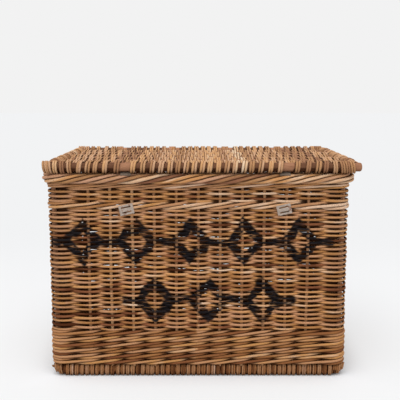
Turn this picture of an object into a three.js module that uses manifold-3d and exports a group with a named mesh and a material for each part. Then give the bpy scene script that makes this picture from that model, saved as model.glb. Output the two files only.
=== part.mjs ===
// Rectangular wicker laundry hamper with a flat woven lid that is hinged along its back edge.
// Millimetres, +Z up, the front faces -Y, and the origin is on the floor in the middle of the footprint.

import * as THREE from 'three';
import { mergeVertices } from 'three/addons/utils/BufferGeometryUtils.js';
import Module from 'manifold-3d';

const wasm = await Module();
wasm.setup();

// Overall sizes, over the outermost strands
const BODY_WIDTH = 868;
const BODY_DEPTH = 560;
const BODY_CORNER_RADIUS = 44;
const RIM_PROUD = 15;
const LID_SIDE_OVERHANG = 1;
const LID_FRONT_OVERHANG = 8.5;
const LID_SHIFT = 12;
const FOOT_INSET = 3;

// Heights of the woven bands of the walls, from the foot up
const WALE_ROUND_HEIGHT = 17.2;
const FOOT_WALE_ROUND_COUNT = 6;
const LOWER_RANDING_HEIGHT = 359;
const MID_WALE_HEIGHT = 20;
const UPPER_RANDING_HEIGHT = 41;
const TOP_WALE_HEIGHT = 13;
const RIM_HEIGHT = 29;

// Thicknesses of the walls
const WALE_THICKNESS = 22;
const RANDING_THICKNESS = 18;
const WALE_GROOVE = 2.5;
const RIM_INNER_REACH = 10;

// Relief of the plain weave: its crests lie outside a stake or over a stick, its hollows beside them.
// It has one row of crests for every few weavers and one column for every few strands.
const WEAVE_ROW_HEIGHT = 20;
const LID_COLUMN_WIDTH = 52;
const BASE_COLUMN_WIDTH = 130;
const WEAVE_RISE = 1.5;
const WEAVE_FALL = 6;
const WEAVE_SKIN = 1.5;

// Cane sizes
const POLE_DIAMETER = 25;
const STICK_DIAMETER = 12;
const STRAND_DIAMETER = 6;
const CORNER_POST_DIAMETER = 14;

// Stakes and sticks
const STAKE_PITCH = 63;
const CORNER_STAKE_SPACE = 40;
const STICK_COUNT = 5;
const MORTISE_DEPTH = 9;

// Loops of paired strands that bind the weave of the lid and base to the frame poles
const STRANDS_PER_LOOP = 2;
const LID_LOOP_PITCH = 23;
const LASHING_LENGTH = 80;
const LASHING_WRAPS = 5;
const LASHING_GROOVE = 1.6;
const LASHING_END_SHOW = 3;
const POLE_END_CHAMFER = 5;
const FOOT_END_CHAMFER = 10;
const SHEET_CLEARANCE = 1.5;

// Cane loops that hinge the lid's back pole to the rim. Each lies midway between two stakes, the outer
// ones as far out as the lashings of the lid let them swing.
const HINGE_BAY_SHARES = [-1, -1 / 3, 1 / 3, 1];
const HINGE_WIDTH = 26;
const HINGE_CANE = 4.5;
const HINGE_CLEARANCE = 0.5;
const HINGE_SWING_CLEARANCE = 6;

// Strap closures: a slotted plate on the front and a leather saddle on the rim above it
const CLOSURE_X_SHARES = [-0.47, 0.563];
const CLOSURE_NAMES = ['left', 'right'];
const PLATE_WIDTH = 41;
const PLATE_HEIGHT = 29;
const PLATE_THICKNESS = 1.6;
const PLATE_TILT = THREE.MathUtils.degToRad(13);
const PLATE_SLOT_LENGTH = 28;
const PLATE_SLOT_WIDTH = 3.6;
const PLATE_SLOT_SPACING = 14;
const PLATE_EDGE = 3.6;
const PRONG_DIAMETER = 2.8;
const PRONG_CLINCH = 2;
const BACKING_MARGIN = 1;
const BACKING_THICKNESS = 1.2;
const SADDLE_WIDTH = 30;
const SADDLE_THICKNESS = 4.8;
const SADDLE_FRONT_ANGLE = THREE.MathUtils.degToRad(38);
const SADDLE_BACK_ANGLE = THREE.MathUtils.degToRad(118);

// Bow handles on the two ends
const HANDLE_DIAMETER = 18;
const HANDLE_REACH = 44;
const HANDLE_SPAN = 142;
const HANDLE_SEAT_DEPTH = 12;
const HANDLE_DROP = 160;
const HANDLE_CROWN_SHARE = 0.5;

// Clearance between neighbouring pieces, and how far cutters run past what they cut
const GAP = 0.3;
const OVERRUN = 2;

// Numbers of facets
const POLE_SIDES = 10;
const LOOP_SIDES = 8;
const POLE_HOLE_SIDES = 6;
const STICK_SIDES = 8;
const PRONG_SIDES = 6;
const CORNER_STEPS = 4;
const RIM_SIDES = 12;
const SLOT_END_STEPS = 3;
const HINGE_ARC_STEPS = 6;
const HANDLE_SIDES = 8;
const HANDLE_STEPS = 14;

// Sizes that follow from the ones above
const POLE_RADIUS = POLE_DIAMETER / 2;
const STICK_RADIUS = STICK_DIAMETER / 2;
const FRAME_THICKNESS = POLE_DIAMETER + 2 * STRAND_DIAMETER;
const LOOP_RADIUS = FRAME_THICKNESS / 2;
const LOOP_WIDTH = STRANDS_PER_LOOP * STRAND_DIAMETER;
const WALL_MID_X = BODY_WIDTH / 2 - WALE_THICKNESS / 2;
const WALL_MID_Y = BODY_DEPTH / 2 - WALE_THICKNESS / 2;
const WALL_MID_RADIUS = BODY_CORNER_RADIUS - WALE_THICKNESS / 2;
const RIM_HALF_WIDTH = (RIM_INNER_REACH + WALE_THICKNESS / 2 + RIM_PROUD) / 2;
const RIM_OFFSET = RIM_HALF_WIDTH - RIM_INNER_REACH;
const LID_WIDTH = BODY_WIDTH + 2 * (RIM_PROUD + LID_SIDE_OVERHANG);
const LID_DEPTH = BODY_DEPTH + 2 * (RIM_PROUD + LID_FRONT_OVERHANG);
const FOOT_WIDTH = BODY_WIDTH - 2 * FOOT_INSET;
const FOOT_DEPTH = BODY_DEPTH - 2 * FOOT_INSET;

// Levels where one band ends and the next begins
const FOOT_TOP = FRAME_THICKNESS;
const FOOT_WALE_TOP = FOOT_TOP + FOOT_WALE_ROUND_COUNT * WALE_ROUND_HEIGHT;
const LOWER_RANDING_TOP = FOOT_WALE_TOP + LOWER_RANDING_HEIGHT;
const MID_WALE_TOP = LOWER_RANDING_TOP + MID_WALE_HEIGHT;
const UPPER_RANDING_TOP = MID_WALE_TOP + UPPER_RANDING_HEIGHT;
const TOP_WALE_TOP = UPPER_RANDING_TOP + TOP_WALE_HEIGHT;
const RIM_TOP = TOP_WALE_TOP + RIM_HEIGHT;
const RIM_MID = TOP_WALE_TOP + RIM_HEIGHT / 2;
const LID_MID = RIM_TOP + GAP + LOOP_RADIUS;
const LID_POLE_Y = LID_DEPTH / 2 - LOOP_RADIUS;
const RIM_MID_Y = WALL_MID_Y + RIM_OFFSET;

const WICKER = { color: 0xa5734a, roughness: 0.62, metalness: 0 };
const WICKER_DARK = { color: 0x85583a, roughness: 0.66, metalness: 0 };
const CANE = { color: 0xb08660, roughness: 0.5, metalness: 0 };
const POLE_WOOD = { color: 0x8a6350, roughness: 0.58, metalness: 0 };
const PLATE_METAL = { color: 0xa39a92, roughness: 0.45, metalness: 0.85 };
const LEATHER = { color: 0x77695c, roughness: 0.75, metalness: 0 };

// A radius whose polygon of so many sides clears a circle of the given radius.
function aroundCircle(radius, sides) {
  return radius / Math.cos(Math.PI / sides);
}

// A closed geometry as a solid that can be joined and cut.
function toSolid(geometry) {
  const bare = geometry.clone();
  bare.deleteAttribute('normal');
  bare.deleteAttribute('uv');
  const merged = mergeVertices(bare);
  const vertProperties = new Float32Array(merged.attributes.position.array);
  const triVerts = new Uint32Array(merged.index.array);
  return new wasm.Manifold(new wasm.Mesh({ numProp: 3, vertProperties, triVerts }));
}

// A solid as a geometry again.
function toGeometry(solid) {
  const mesh = solid.getMesh();
  const geometry = new THREE.BufferGeometry();
  geometry.setAttribute('position', new THREE.BufferAttribute(new Float32Array(mesh.vertProperties), 3));
  geometry.setIndex(new THREE.BufferAttribute(new Uint32Array(mesh.triVerts), 1));
  geometry.computeVertexNormals();
  return geometry;
}

// The first geometry with all the others cut away.
function cut(geometry, tools) {
  let solid = toSolid(geometry);
  for (const tool of tools) {
    solid = solid.subtract(toSolid(tool));
  }
  return toGeometry(solid);
}

// All the geometries joined into one.
function join(geometries) {
  let solid = toSolid(geometries[0]);
  for (const geometry of geometries.slice(1)) {
    solid = solid.add(toSolid(geometry));
  }
  return toGeometry(solid);
}

function namedMesh(name, geometry, finish) {
  const mesh = new THREE.Mesh(geometry, new THREE.MeshStandardMaterial(finish));
  mesh.name = name;
  return mesh;
}

// A prism of regular section along X. Its first corner points up, or its first side where flat is true.
function prismAlongX(radius, length, sides, flat = false) {
  const geometry = new THREE.CylinderGeometry(radius, radius, length, sides);
  geometry.rotateY(flat ? Math.PI / sides : 0);
  geometry.rotateZ(Math.PI / 2);
  return geometry;
}

// A round pole along X with chamfered ends.
function poleAlongX(length, radius, chamfer) {
  const profile = [
    new THREE.Vector2(0, -length / 2),
    new THREE.Vector2(radius - chamfer, -length / 2),
    new THREE.Vector2(radius, -length / 2 + chamfer),
    new THREE.Vector2(radius, length / 2 - chamfer),
    new THREE.Vector2(radius - chamfer, length / 2),
    new THREE.Vector2(0, length / 2),
  ];
  const geometry = new THREE.LatheGeometry(profile, POLE_SIDES);
  geometry.rotateZ(Math.PI / 2);
  return geometry;
}

// An extrusion along X of a shape drawn with its x along the row's Y and its y along Z.
function extrudeAlongX(shape, length, curveSegments = 1) {
  const geometry = new THREE.ExtrudeGeometry(shape, { depth: length, bevelEnabled: false, curveSegments });
  geometry.translate(0, 0, -length / 2);
  const basis = new THREE.Matrix4().makeBasis(
    new THREE.Vector3(0, 1, 0),
    new THREE.Vector3(0, 0, 1),
    new THREE.Vector3(1, 0, 0),
  );
  geometry.applyMatrix4(basis);
  return geometry;
}

// Centres of a row of equal steps that fits within a reach on each side of zero.
function centredRow(reach, pitch) {
  const count = Math.floor(2 * reach / pitch);
  return Array.from({ length: count }, (_, i) => (i - (count - 1) / 2) * pitch);
}

// Places of the sticks across a panel whose poles lie so far from its middle.
function stickPlaces(poleY) {
  const pitch = 2 * poleY / (STICK_COUNT + 1);
  return Array.from({ length: STICK_COUNT }, (_, i) => (i - (STICK_COUNT - 1) / 2) * pitch);
}

// Adds a quad as two triangles that meet along the diagonal from its first corner, or along the other one.
function addQuad(indices, [a, b, c, d], fromFirst) {
  const triangles = fromFirst ? [a, b, c, a, c, d] : [a, b, d, b, c, d];
  indices.push(...triangles);
}

function gridGeometry(positions, indices) {
  const geometry = new THREE.BufferGeometry();
  geometry.setAttribute('position', new THREE.Float32BufferAttribute(positions, 3));
  geometry.setIndex(indices);
  geometry.computeVertexNormals();
  return geometry;
}

// The woven sheet of a panel. Over each stick, crests and hollows take turns from column to column, and
// between the sticks the sheet is thin.
function wovenSheet(halfWidth, halfDepth, sticks, columnWidth) {
  const rows = sticks.flatMap((y, i) => {
    const middle = i > 0 ? [{ y: (sticks[i - 1] + y) / 2, weave: 0 }] : [];
    return [...middle, { y, weave: i % 2 === 0 ? 1 : -1 }];
  });
  rows.unshift({ y: -halfDepth, weave: 0 });
  rows.push({ y: halfDepth, weave: 0 });
  const columns = 2 * Math.round(halfWidth / columnWidth);
  const heightAt = (crossing) => {
    if (crossing === 0) {
      return STRAND_DIAMETER;
    }
    return STICK_RADIUS + (crossing > 0 ? STRAND_DIAMETER : WEAVE_SKIN);
  };
  const positions = [];
  const indices = [];
  for (const side of [-1, 1]) {
    for (const { y, weave } of rows) {
      for (let c = 0; c <= columns; c += 1) {
        const crossing = side * weave * (c % 2 === 0 ? 1 : -1);
        positions.push((2 * c / columns - 1) * halfWidth, y, side * heightAt(crossing));
      }
    }
  }
  const at = (layer, r, c) => (layer * rows.length + r) * (columns + 1) + c;
  for (let r = 0; r + 1 < rows.length; r += 1) {
    for (let c = 0; c < columns; c += 1) {
      for (const [layer, side] of [[0, -1], [1, 1]]) {
        const quad = [at(layer, r, c), at(layer, r, c + 1), at(layer, r + 1, c + 1), at(layer, r + 1, c)];
        const ridge = side * (rows[r].weave - rows[r + 1].weave) * (c % 2 === 0 ? 1 : -1) > 0;
        addQuad(indices, side > 0 ? quad : [quad[0], quad[3], quad[2], quad[1]], ridge);
      }
    }
    addQuad(indices, [at(0, r, 0), at(1, r, 0), at(1, r + 1, 0), at(0, r + 1, 0)], true);
    const end = [at(0, r, columns), at(0, r + 1, columns), at(1, r + 1, columns), at(1, r, columns)];
    addQuad(indices, end, true);
  }
  const last = rows.length - 1;
  for (let c = 0; c < columns; c += 1) {
    addQuad(indices, [at(0, 0, c), at(0, 0, c + 1), at(1, 0, c + 1), at(1, 0, c)], true);
    addQuad(indices, [at(0, last, c), at(1, last, c), at(1, last, c + 1), at(0, last, c + 1)], true);
  }
  return gridGeometry(positions, indices);
}

// The weave of a panel: its sheet, and the loops that go round the front and back poles.
function panelWeave({ poleX, poleY, columnWidth, loopPlaces, loopWidth, flatLoops, clearances }) {
  const sheetHalfWidth = poleX - POLE_RADIUS - GAP;
  const sheetHalfDepth = poleY - POLE_RADIUS - SHEET_CLEARANCE;
  const sticks = stickPlaces(poleY);
  const pieces = [wovenSheet(sheetHalfWidth, sheetHalfDepth, sticks, columnWidth)];
  const loopRadius = flatLoops ? aroundCircle(LOOP_RADIUS, LOOP_SIDES) : LOOP_RADIUS;
  for (const side of [-1, 1]) {
    for (const x of loopPlaces(side)) {
      const loop = prismAlongX(loopRadius, loopWidth, LOOP_SIDES, flatLoops);
      loop.translate(x, side * poleY, 0);
      pieces.push(loop);
    }
  }
  const tools = [];
  for (const side of [-1, 1]) {
    const holeRadius = aroundCircle(POLE_RADIUS + GAP, POLE_HOLE_SIDES);
    const poleHole = prismAlongX(holeRadius, 2 * poleX, POLE_HOLE_SIDES);
    poleHole.translate(0, side * poleY, 0);
    tools.push(poleHole);
  }
  for (const y of sticks) {
    const channel = prismAlongX(aroundCircle(STICK_RADIUS + GAP, STICK_SIDES), 2 * poleX, STICK_SIDES);
    channel.translate(0, y, 0);
    tools.push(channel);
  }
  return cut(join(pieces), [...tools, ...clearances]);
}

// A side pole of a panel, with a mortise for the end of each stick.
function sidePole(poleX, poleY, endClearance, side) {
  const length = 2 * (poleY - endClearance - GAP);
  const pole = prismAlongX(POLE_RADIUS, length, POLE_SIDES);
  pole.rotateZ(Math.PI / 2);
  pole.translate(side * poleX, 0, 0);
  const depth = MORTISE_DEPTH + GAP;
  const mortises = stickPlaces(poleY).map((y) => {
    const hole = prismAlongX(aroundCircle(STICK_RADIUS + GAP, STICK_SIDES), depth + OVERRUN, STICK_SIDES);
    hole.translate(side * (poleX - POLE_RADIUS + (depth - OVERRUN) / 2), y, 0);
    return hole;
  });
  return cut(pole, mortises);
}

// The tight wrapping of strands at the end of a front or back pole of the lid.
function lashing() {
  const inner = aroundCircle(POLE_RADIUS + GAP, LOOP_SIDES);
  const pitch = LASHING_LENGTH / LASHING_WRAPS;
  const profile = [new THREE.Vector2(inner, 0), new THREE.Vector2(LOOP_RADIUS - LASHING_GROOVE, 0)];
  for (let wrap = 0; wrap < LASHING_WRAPS; wrap += 1) {
    profile.push(new THREE.Vector2(LOOP_RADIUS, (wrap + 1 / 2) * pitch));
    profile.push(new THREE.Vector2(LOOP_RADIUS - LASHING_GROOVE, (wrap + 1) * pitch));
  }
  profile.push(new THREE.Vector2(inner, LASHING_LENGTH));
  profile.push(profile[0].clone());
  const geometry = new THREE.LatheGeometry(profile, LOOP_SIDES);
  geometry.translate(0, -LASHING_LENGTH / 2, 0);
  geometry.rotateZ(Math.PI / 2);
  return geometry;
}

// A woven panel on a frame of four poles, as the lid and the base are.
function wovenPanel(name, width, depth, options) {
  const group = new THREE.Group();
  const poleX = width / 2 - LOOP_RADIUS;
  const poleY = depth / 2 - LOOP_RADIUS;
  const mainLength = width - 2 * LASHING_END_SHOW;
  const endClearance = options.lashed ? LOOP_RADIUS : POLE_RADIUS;
  for (const [word, side] of [['front', -1], ['back', 1]]) {
    const pole = poleAlongX(mainLength, POLE_RADIUS, options.endChamfer);
    pole.translate(0, side * poleY, 0);
    group.add(namedMesh(`${name}_${word}_pole`, pole, POLE_WOOD));
  }
  for (const [word, side] of [['left', -1], ['right', 1]]) {
    const pole = sidePole(poleX, poleY, endClearance, side);
    group.add(namedMesh(`${name}_${word}_pole`, pole, POLE_WOOD));
  }
  const stickLength = 2 * (poleX - POLE_RADIUS + MORTISE_DEPTH);
  stickPlaces(poleY).forEach((y, i) => {
    const stick = prismAlongX(STICK_RADIUS, stickLength, STICK_SIDES);
    stick.translate(0, y, 0);
    group.add(namedMesh(`${name}_stick_${i + 1}`, stick, POLE_WOOD));
  });
  const weave = panelWeave({ poleX, poleY, ...options });
  group.add(namedMesh(`${name}_weave`, weave, WICKER));
  return group;
}

// Points round the middle line of the walls, each with its outward direction. Where stakes are asked for,
// there is a point at each of them, and the side that the weave starts on changes from one to the next.
// The corner posts take part in that, but the weave lies smooth round them.
function wallStations(withStakes) {
  const stations = [];
  let upright = 0;
  for (let quarter = 0; quarter < 4; quarter += 1) {
    const angle = quarter * Math.PI / 2;
    const isEnd = quarter % 2 === 0;
    const outward = new THREE.Vector2(Math.cos(angle), Math.sin(angle));
    const along = new THREE.Vector2(-Math.sin(angle), Math.cos(angle));
    const reach = isEnd ? WALL_MID_X : WALL_MID_Y;
    const straight = (isEnd ? WALL_MID_Y : WALL_MID_X) - WALL_MID_RADIUS;
    for (const place of withStakes ? stakePlaces(straight) : []) {
      const point = outward.clone().multiplyScalar(reach).addScaledVector(along, place);
      stations.push({ point, outward, weave: upright % 2 === 0 ? 1 : -1 });
      upright += 1;
    }
    upright += 1;
    const centre = outward.clone().multiplyScalar(reach - WALL_MID_RADIUS);
    centre.addScaledVector(along, straight);
    for (let i = 0; i <= CORNER_STEPS; i += 1) {
      const turn = angle + (i / CORNER_STEPS) * Math.PI / 2;
      const direction = new THREE.Vector2(Math.cos(turn), Math.sin(turn));
      const point = centre.clone().addScaledVector(direction, WALL_MID_RADIUS);
      stations.push({ point, outward: direction, weave: 0 });
    }
  }
  return stations;
}

// Places of the stakes along a wall whose straight part reaches so far on each side of its middle.
function stakePlaces(straight) {
  const each = Math.floor((straight - CORNER_STAKE_SPACE) / STAKE_PITCH);
  return Array.from({ length: 2 * each + 1 }, (_, i) => (i - each) * STAKE_PITCH);
}

// A closed ring: a profile of places, each with its outward offset, its height and the side that the weave
// of its row starts on, carried round the stations.
function wallRing(profile, stations) {
  const positions = [];
  for (const { point, outward, weave } of stations) {
    for (const place of profile) {
      const crossing = weave * place.weave;
      const spread = place.offset + crossing * (crossing > 0 ? WEAVE_RISE : WEAVE_FALL);
      positions.push(point.x + outward.x * spread, point.y + outward.y * spread, place.height);
    }
  }
  const indices = [];
  stations.forEach((station, s) => {
    const following = (s + 1) % stations.length;
    profile.forEach((place, p) => {
      const next = (p + 1) % profile.length;
      const ridge = station.weave * place.weave + stations[following].weave * profile[next].weave;
      const quad = [[s, p], [following, p], [following, next], [s, next]];
      addQuad(indices, quad.map(([column, row]) => column * profile.length + row), ridge >= 0);
    });
  });
  return gridGeometry(positions, indices);
}

// A place of a band's profile.
function profilePlace(offset, height, weave = 0) {
  return { offset, height, weave };
}

// The profile of a plain woven band between two levels, whose rows start on one side of a stake in turns.
function randingProfile(bottom, top) {
  const half = RANDING_THICKNESS / 2;
  const low = bottom + GAP / 2;
  const rows = Math.round((top - bottom) / WEAVE_ROW_HEIGHT);
  const pitch = (top - bottom - GAP) / rows;
  const profile = [profilePlace(-half, low), profilePlace(half, low)];
  for (let row = 0; row < rows; row += 1) {
    profile.push(profilePlace(half, low + (row + 1 / 2) * pitch, row % 2 === 0 ? 1 : -1));
  }
  profile.push(profilePlace(half, top - GAP / 2), profilePlace(-half, top - GAP / 2));
  return profile;
}

// The profile of a waled band: each round of the wale stands out as a rib.
function waleProfile(bottom, top, rounds) {
  const half = WALE_THICKNESS / 2;
  const low = bottom + GAP / 2;
  const pitch = (top - bottom - GAP) / rounds;
  const profile = [profilePlace(-half, low), profilePlace(half - WALE_GROOVE, low)];
  for (let round = 0; round < rounds; round += 1) {
    profile.push(profilePlace(half, low + (round + 1 / 2) * pitch));
    profile.push(profilePlace(half - WALE_GROOVE, low + (round + 1) * pitch));
  }
  profile.push(profilePlace(-half, top - GAP / 2));
  return profile;
}

// The oval profile of the plaited border on the top of the walls.
function rimProfile() {
  return Array.from({ length: RIM_SIDES }, (_, i) => {
    const angle = i / RIM_SIDES * 2 * Math.PI;
    const across = RIM_OFFSET + RIM_HALF_WIDTH * Math.cos(angle);
    return profilePlace(across, RIM_MID + (RIM_HEIGHT / 2 - GAP / 2) * Math.sin(angle));
  });
}

// Middle of a corner post, on the middle line of the walls.
function cornerPostPlace(signX, signY) {
  const diagonal = WALL_MID_RADIUS * Math.SQRT1_2;
  const x = WALL_MID_X - WALL_MID_RADIUS + diagonal;
  const y = WALL_MID_Y - WALL_MID_RADIUS + diagonal;
  return [signX * x, signY * y];
}

const CORNERS = [
  ['front_left', -1, -1],
  ['front_right', 1, -1],
  ['back_left', -1, 1],
  ['back_right', 1, 1],
];

// An upright prism between two levels.
function uprightPrism(radius, bottom, top, sides) {
  const geometry = new THREE.CylinderGeometry(radius, radius, top - bottom, sides);
  geometry.rotateX(Math.PI / 2);
  geometry.translate(0, 0, (bottom + top) / 2);
  return geometry;
}

function cornerPostChannels() {
  const radius = aroundCircle(CORNER_POST_DIAMETER / 2 + GAP, STICK_SIDES);
  return CORNERS.map(([, signX, signY]) => {
    const channel = uprightPrism(radius, FOOT_TOP - OVERRUN, RIM_TOP, STICK_SIDES);
    channel.translate(...cornerPostPlace(signX, signY), 0);
    return channel;
  });
}

// Where the two strap closures and the hinge loops stand across the hamper.
const CLOSURE_PLACES = CLOSURE_X_SHARES.map((share) => share * BODY_WIDTH / 2);
const HINGE_ROOM = HINGE_WIDTH / 2 + HINGE_SWING_CLEARANCE;
const LASHING_REACH = LID_WIDTH / 2 - LASHING_END_SHOW - POLE_END_CHAMFER - LASHING_LENGTH;
const OUTER_BAY = Math.floor((LASHING_REACH - LID_SHIFT - HINGE_ROOM) / STAKE_PITCH - 1 / 2);
const HINGE_PLACES = HINGE_BAY_SHARES.map((share) => {
  const bay = Math.floor(Math.abs(share) * (OUTER_BAY + 1 / 2)) + 1 / 2;
  return Math.sign(share) * bay * STAKE_PITCH;
});

// The prongs of a plate, as places in the plate's own plane.
function prongPlaces() {
  const x = PLATE_WIDTH / 2 - PLATE_EDGE;
  const y = PLATE_HEIGHT / 2 - PLATE_EDGE;
  return [[-x, -y], [x, -y], [-x, y], [x, y]];
}

// Turns a geometry drawn face-on into its place on the front wall, its own z pointing out to the front.
function placeOnFront(geometry, x, y) {
  geometry.rotateZ(PLATE_TILT);
  geometry.rotateX(Math.PI / 2);
  geometry.translate(x, y, LOWER_RANDING_TOP);
  return geometry;
}

const PLATE_BACK_Y = -(WALL_MID_Y + WALE_THICKNESS / 2 + GAP);
const BACKING_FRONT_Y = -(WALL_MID_Y - WALE_THICKNESS / 2 - GAP);
const PRONG_LENGTH = BACKING_FRONT_Y - PLATE_BACK_Y + BACKING_THICKNESS + PRONG_CLINCH;

// Round cutters or prongs through the front wall at a closure.
function prongPins(radius, length) {
  return prongPlaces().map(([x, y]) => {
    const pin = new THREE.CylinderGeometry(radius, radius, length, PRONG_SIDES);
    pin.rotateX(Math.PI / 2);
    pin.translate(x, y, -length / 2);
    return pin;
  });
}

// Cutters for all the prongs of both closures.
function prongHoles() {
  const radius = aroundCircle(PRONG_DIAMETER / 2 + GAP, PRONG_SIDES);
  return CLOSURE_PLACES.flatMap((x) => prongPins(radius, PRONG_LENGTH + 2 * OVERRUN).map((pin) => {
    pin.translate(0, 0, OVERRUN);
    return placeOnFront(pin, x, PLATE_BACK_Y);
  }));
}

// A slotted plate for a strap, with a prong at each corner that goes through the wall.
function keeperPlate(x) {
  const outline = new THREE.Shape([
    new THREE.Vector2(-PLATE_WIDTH / 2, -PLATE_HEIGHT / 2),
    new THREE.Vector2(PLATE_WIDTH / 2, -PLATE_HEIGHT / 2),
    new THREE.Vector2(PLATE_WIDTH / 2, PLATE_HEIGHT / 2),
    new THREE.Vector2(-PLATE_WIDTH / 2, PLATE_HEIGHT / 2),
  ]);
  for (const side of [-1, 1]) {
    const slot = new THREE.Path();
    const end = (PLATE_SLOT_LENGTH - PLATE_SLOT_WIDTH) / 2;
    const y = side * PLATE_SLOT_SPACING / 2;
    slot.absarc(end, y, PLATE_SLOT_WIDTH / 2, -Math.PI / 2, Math.PI / 2, false);
    slot.absarc(-end, y, PLATE_SLOT_WIDTH / 2, Math.PI / 2, 3 * Math.PI / 2, false);
    slot.closePath();
    outline.holes.push(slot);
  }
  const settings = {
    depth: PLATE_THICKNESS,
    bevelEnabled: false,
    curveSegments: SLOT_END_STEPS,
  };
  const plate = new THREE.ExtrudeGeometry(outline, settings);
  const pins = prongPins(PRONG_DIAMETER / 2, PRONG_LENGTH + PLATE_THICKNESS / 2);
  pins.forEach((pin) => pin.translate(0, 0, PLATE_THICKNESS / 2));
  return placeOnFront(join([plate, ...pins]), x, PLATE_BACK_Y);
}

// The plate inside the wall that the prongs are clinched over.
function backingPlate(x) {
  const width = PLATE_WIDTH - 2 * BACKING_MARGIN;
  const height = PLATE_HEIGHT - 2 * BACKING_MARGIN;
  const plate = new THREE.BoxGeometry(width, height, BACKING_THICKNESS);
  plate.translate(0, 0, -BACKING_THICKNESS / 2);
  const holeRadius = aroundCircle(PRONG_DIAMETER / 2 + GAP, PRONG_SIDES);
  const holes = prongPins(holeRadius, BACKING_THICKNESS + 2 * OVERRUN);
  holes.forEach((hole) => hole.translate(0, 0, OVERRUN));
  return placeOnFront(cut(plate, holes), x, BACKING_FRONT_Y);
}

// The leather saddle that lies over the rim under the lid's pole at a closure.
function rimSaddle(x) {
  const innerX = RIM_HALF_WIDTH + GAP;
  const innerZ = RIM_HEIGHT / 2 + GAP;
  const outline = new THREE.Shape();
  const start = Math.PI - SADDLE_BACK_ANGLE;
  const end = Math.PI - SADDLE_FRONT_ANGLE;
  const outerX = innerX + SADDLE_THICKNESS;
  const outerZ = innerZ + SADDLE_THICKNESS;
  outline.absellipse(-RIM_MID_Y, RIM_MID, outerX, outerZ, start, end, false, 0);
  outline.absellipse(-RIM_MID_Y, RIM_MID, innerX, innerZ, end, start, true, 0);
  const saddle = extrudeAlongX(outline, SADDLE_WIDTH, RIM_SIDES / 2);
  saddle.translate(x, 0, 0);
  return saddle;
}

// The outline of a belt laid round two circles, each given as { y, z, radius }.
function beltOutline(upper, lower, target) {
  const distance = Math.hypot(lower.y - upper.y, lower.z - upper.z);
  const heading = Math.atan2(lower.z - upper.z, lower.y - upper.y);
  const lean = Math.acos((upper.radius - lower.radius) / distance);
  target.absarc(upper.y, upper.z, upper.radius, heading + lean, heading - lean + 2 * Math.PI, false);
  target.absarc(lower.y, lower.z, lower.radius, heading - lean, heading + lean, false);
  target.closePath();
  return target;
}

// The circles that a hinge loop lies round, at the lid's back pole and the rim, with some thickness added.
function hingeCircles(thickness) {
  const rimReach = Math.max(RIM_HALF_WIDTH, RIM_HEIGHT / 2);
  const poleRadius = aroundCircle(POLE_RADIUS + HINGE_CLEARANCE, 2 * HINGE_ARC_STEPS);
  const rimRadius = aroundCircle(rimReach + HINGE_CLEARANCE, 2 * HINGE_ARC_STEPS);
  return [
    { y: LID_POLE_Y, z: LID_MID, radius: poleRadius + thickness },
    { y: RIM_MID_Y, z: RIM_MID, radius: rimRadius + thickness },
  ];
}

// A hinge loop: cane wound round the lid's back pole and under the rim.
function hingeLoop(x) {
  const outline = beltOutline(...hingeCircles(HINGE_CANE), new THREE.Shape());
  outline.holes.push(beltOutline(...hingeCircles(0), new THREE.Path()));
  const loop = extrudeAlongX(outline, HINGE_WIDTH, HINGE_ARC_STEPS);
  loop.translate(x, 0, 0);
  return loop;
}

// Slots in the top wale for the hinge loops to pass through.
function hingeSlots() {
  const [, rim] = hingeCircles(HINGE_CANE + HINGE_CLEARANCE);
  const bottom = rim.z - rim.radius;
  const width = HINGE_WIDTH + 2 * HINGE_CLEARANCE;
  const depth = WALE_THICKNESS + 2 * OVERRUN;
  const height = TOP_WALE_TOP - bottom + OVERRUN;
  return HINGE_PLACES.map((x) => {
    const slot = new THREE.BoxGeometry(width, depth, height);
    slot.translate(x, WALL_MID_Y, bottom + height / 2);
    return slot;
  });
}

// A bow handle on the end wall at side -1 or 1.
function bowHandle(side) {
  const wall = BODY_WIDTH / 2;
  const half = HANDLE_SPAN / 2;
  const crown = HANDLE_REACH - HANDLE_DIAMETER / 2;
  const z = RIM_TOP - HANDLE_DROP;
  const at = (out, y) => new THREE.Vector3(side * (wall + out), y, z);
  const path = new THREE.CurvePath();
  path.add(new THREE.LineCurve3(at(-HANDLE_SEAT_DEPTH, -half), at(0, -half)));
  const shoulder = half * HANDLE_CROWN_SHARE;
  path.add(new THREE.CubicBezierCurve3(at(0, -half), at(crown, -half), at(crown, -shoulder), at(crown, 0)));
  path.add(new THREE.CubicBezierCurve3(at(crown, 0), at(crown, shoulder), at(crown, half), at(0, half)));
  path.add(new THREE.LineCurve3(at(0, half), at(-HANDLE_SEAT_DEPTH, half)));
  const section = new THREE.Shape();
  section.absarc(0, 0, HANDLE_DIAMETER / 2, 0, 2 * Math.PI, false);
  const settings = { steps: HANDLE_STEPS, extrudePath: path, curveSegments: HANDLE_SIDES / 2 };
  return new THREE.ExtrudeGeometry(section, settings);
}

// Sockets in the end walls for the ends of the handles.
function handleSockets() {
  const radius = aroundCircle(HANDLE_DIAMETER / 2 + GAP, HANDLE_SIDES);
  const depth = HANDLE_SEAT_DEPTH + GAP;
  const sockets = [];
  for (const side of [-1, 1]) {
    for (const end of [-1, 1]) {
      const socket = prismAlongX(radius, depth + OVERRUN, HANDLE_SIDES);
      const x = side * (BODY_WIDTH / 2 - (depth - OVERRUN) / 2);
      socket.translate(x, end * HANDLE_SPAN / 2, RIM_TOP - HANDLE_DROP);
      sockets.push(socket);
    }
  }
  return sockets;
}

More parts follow.
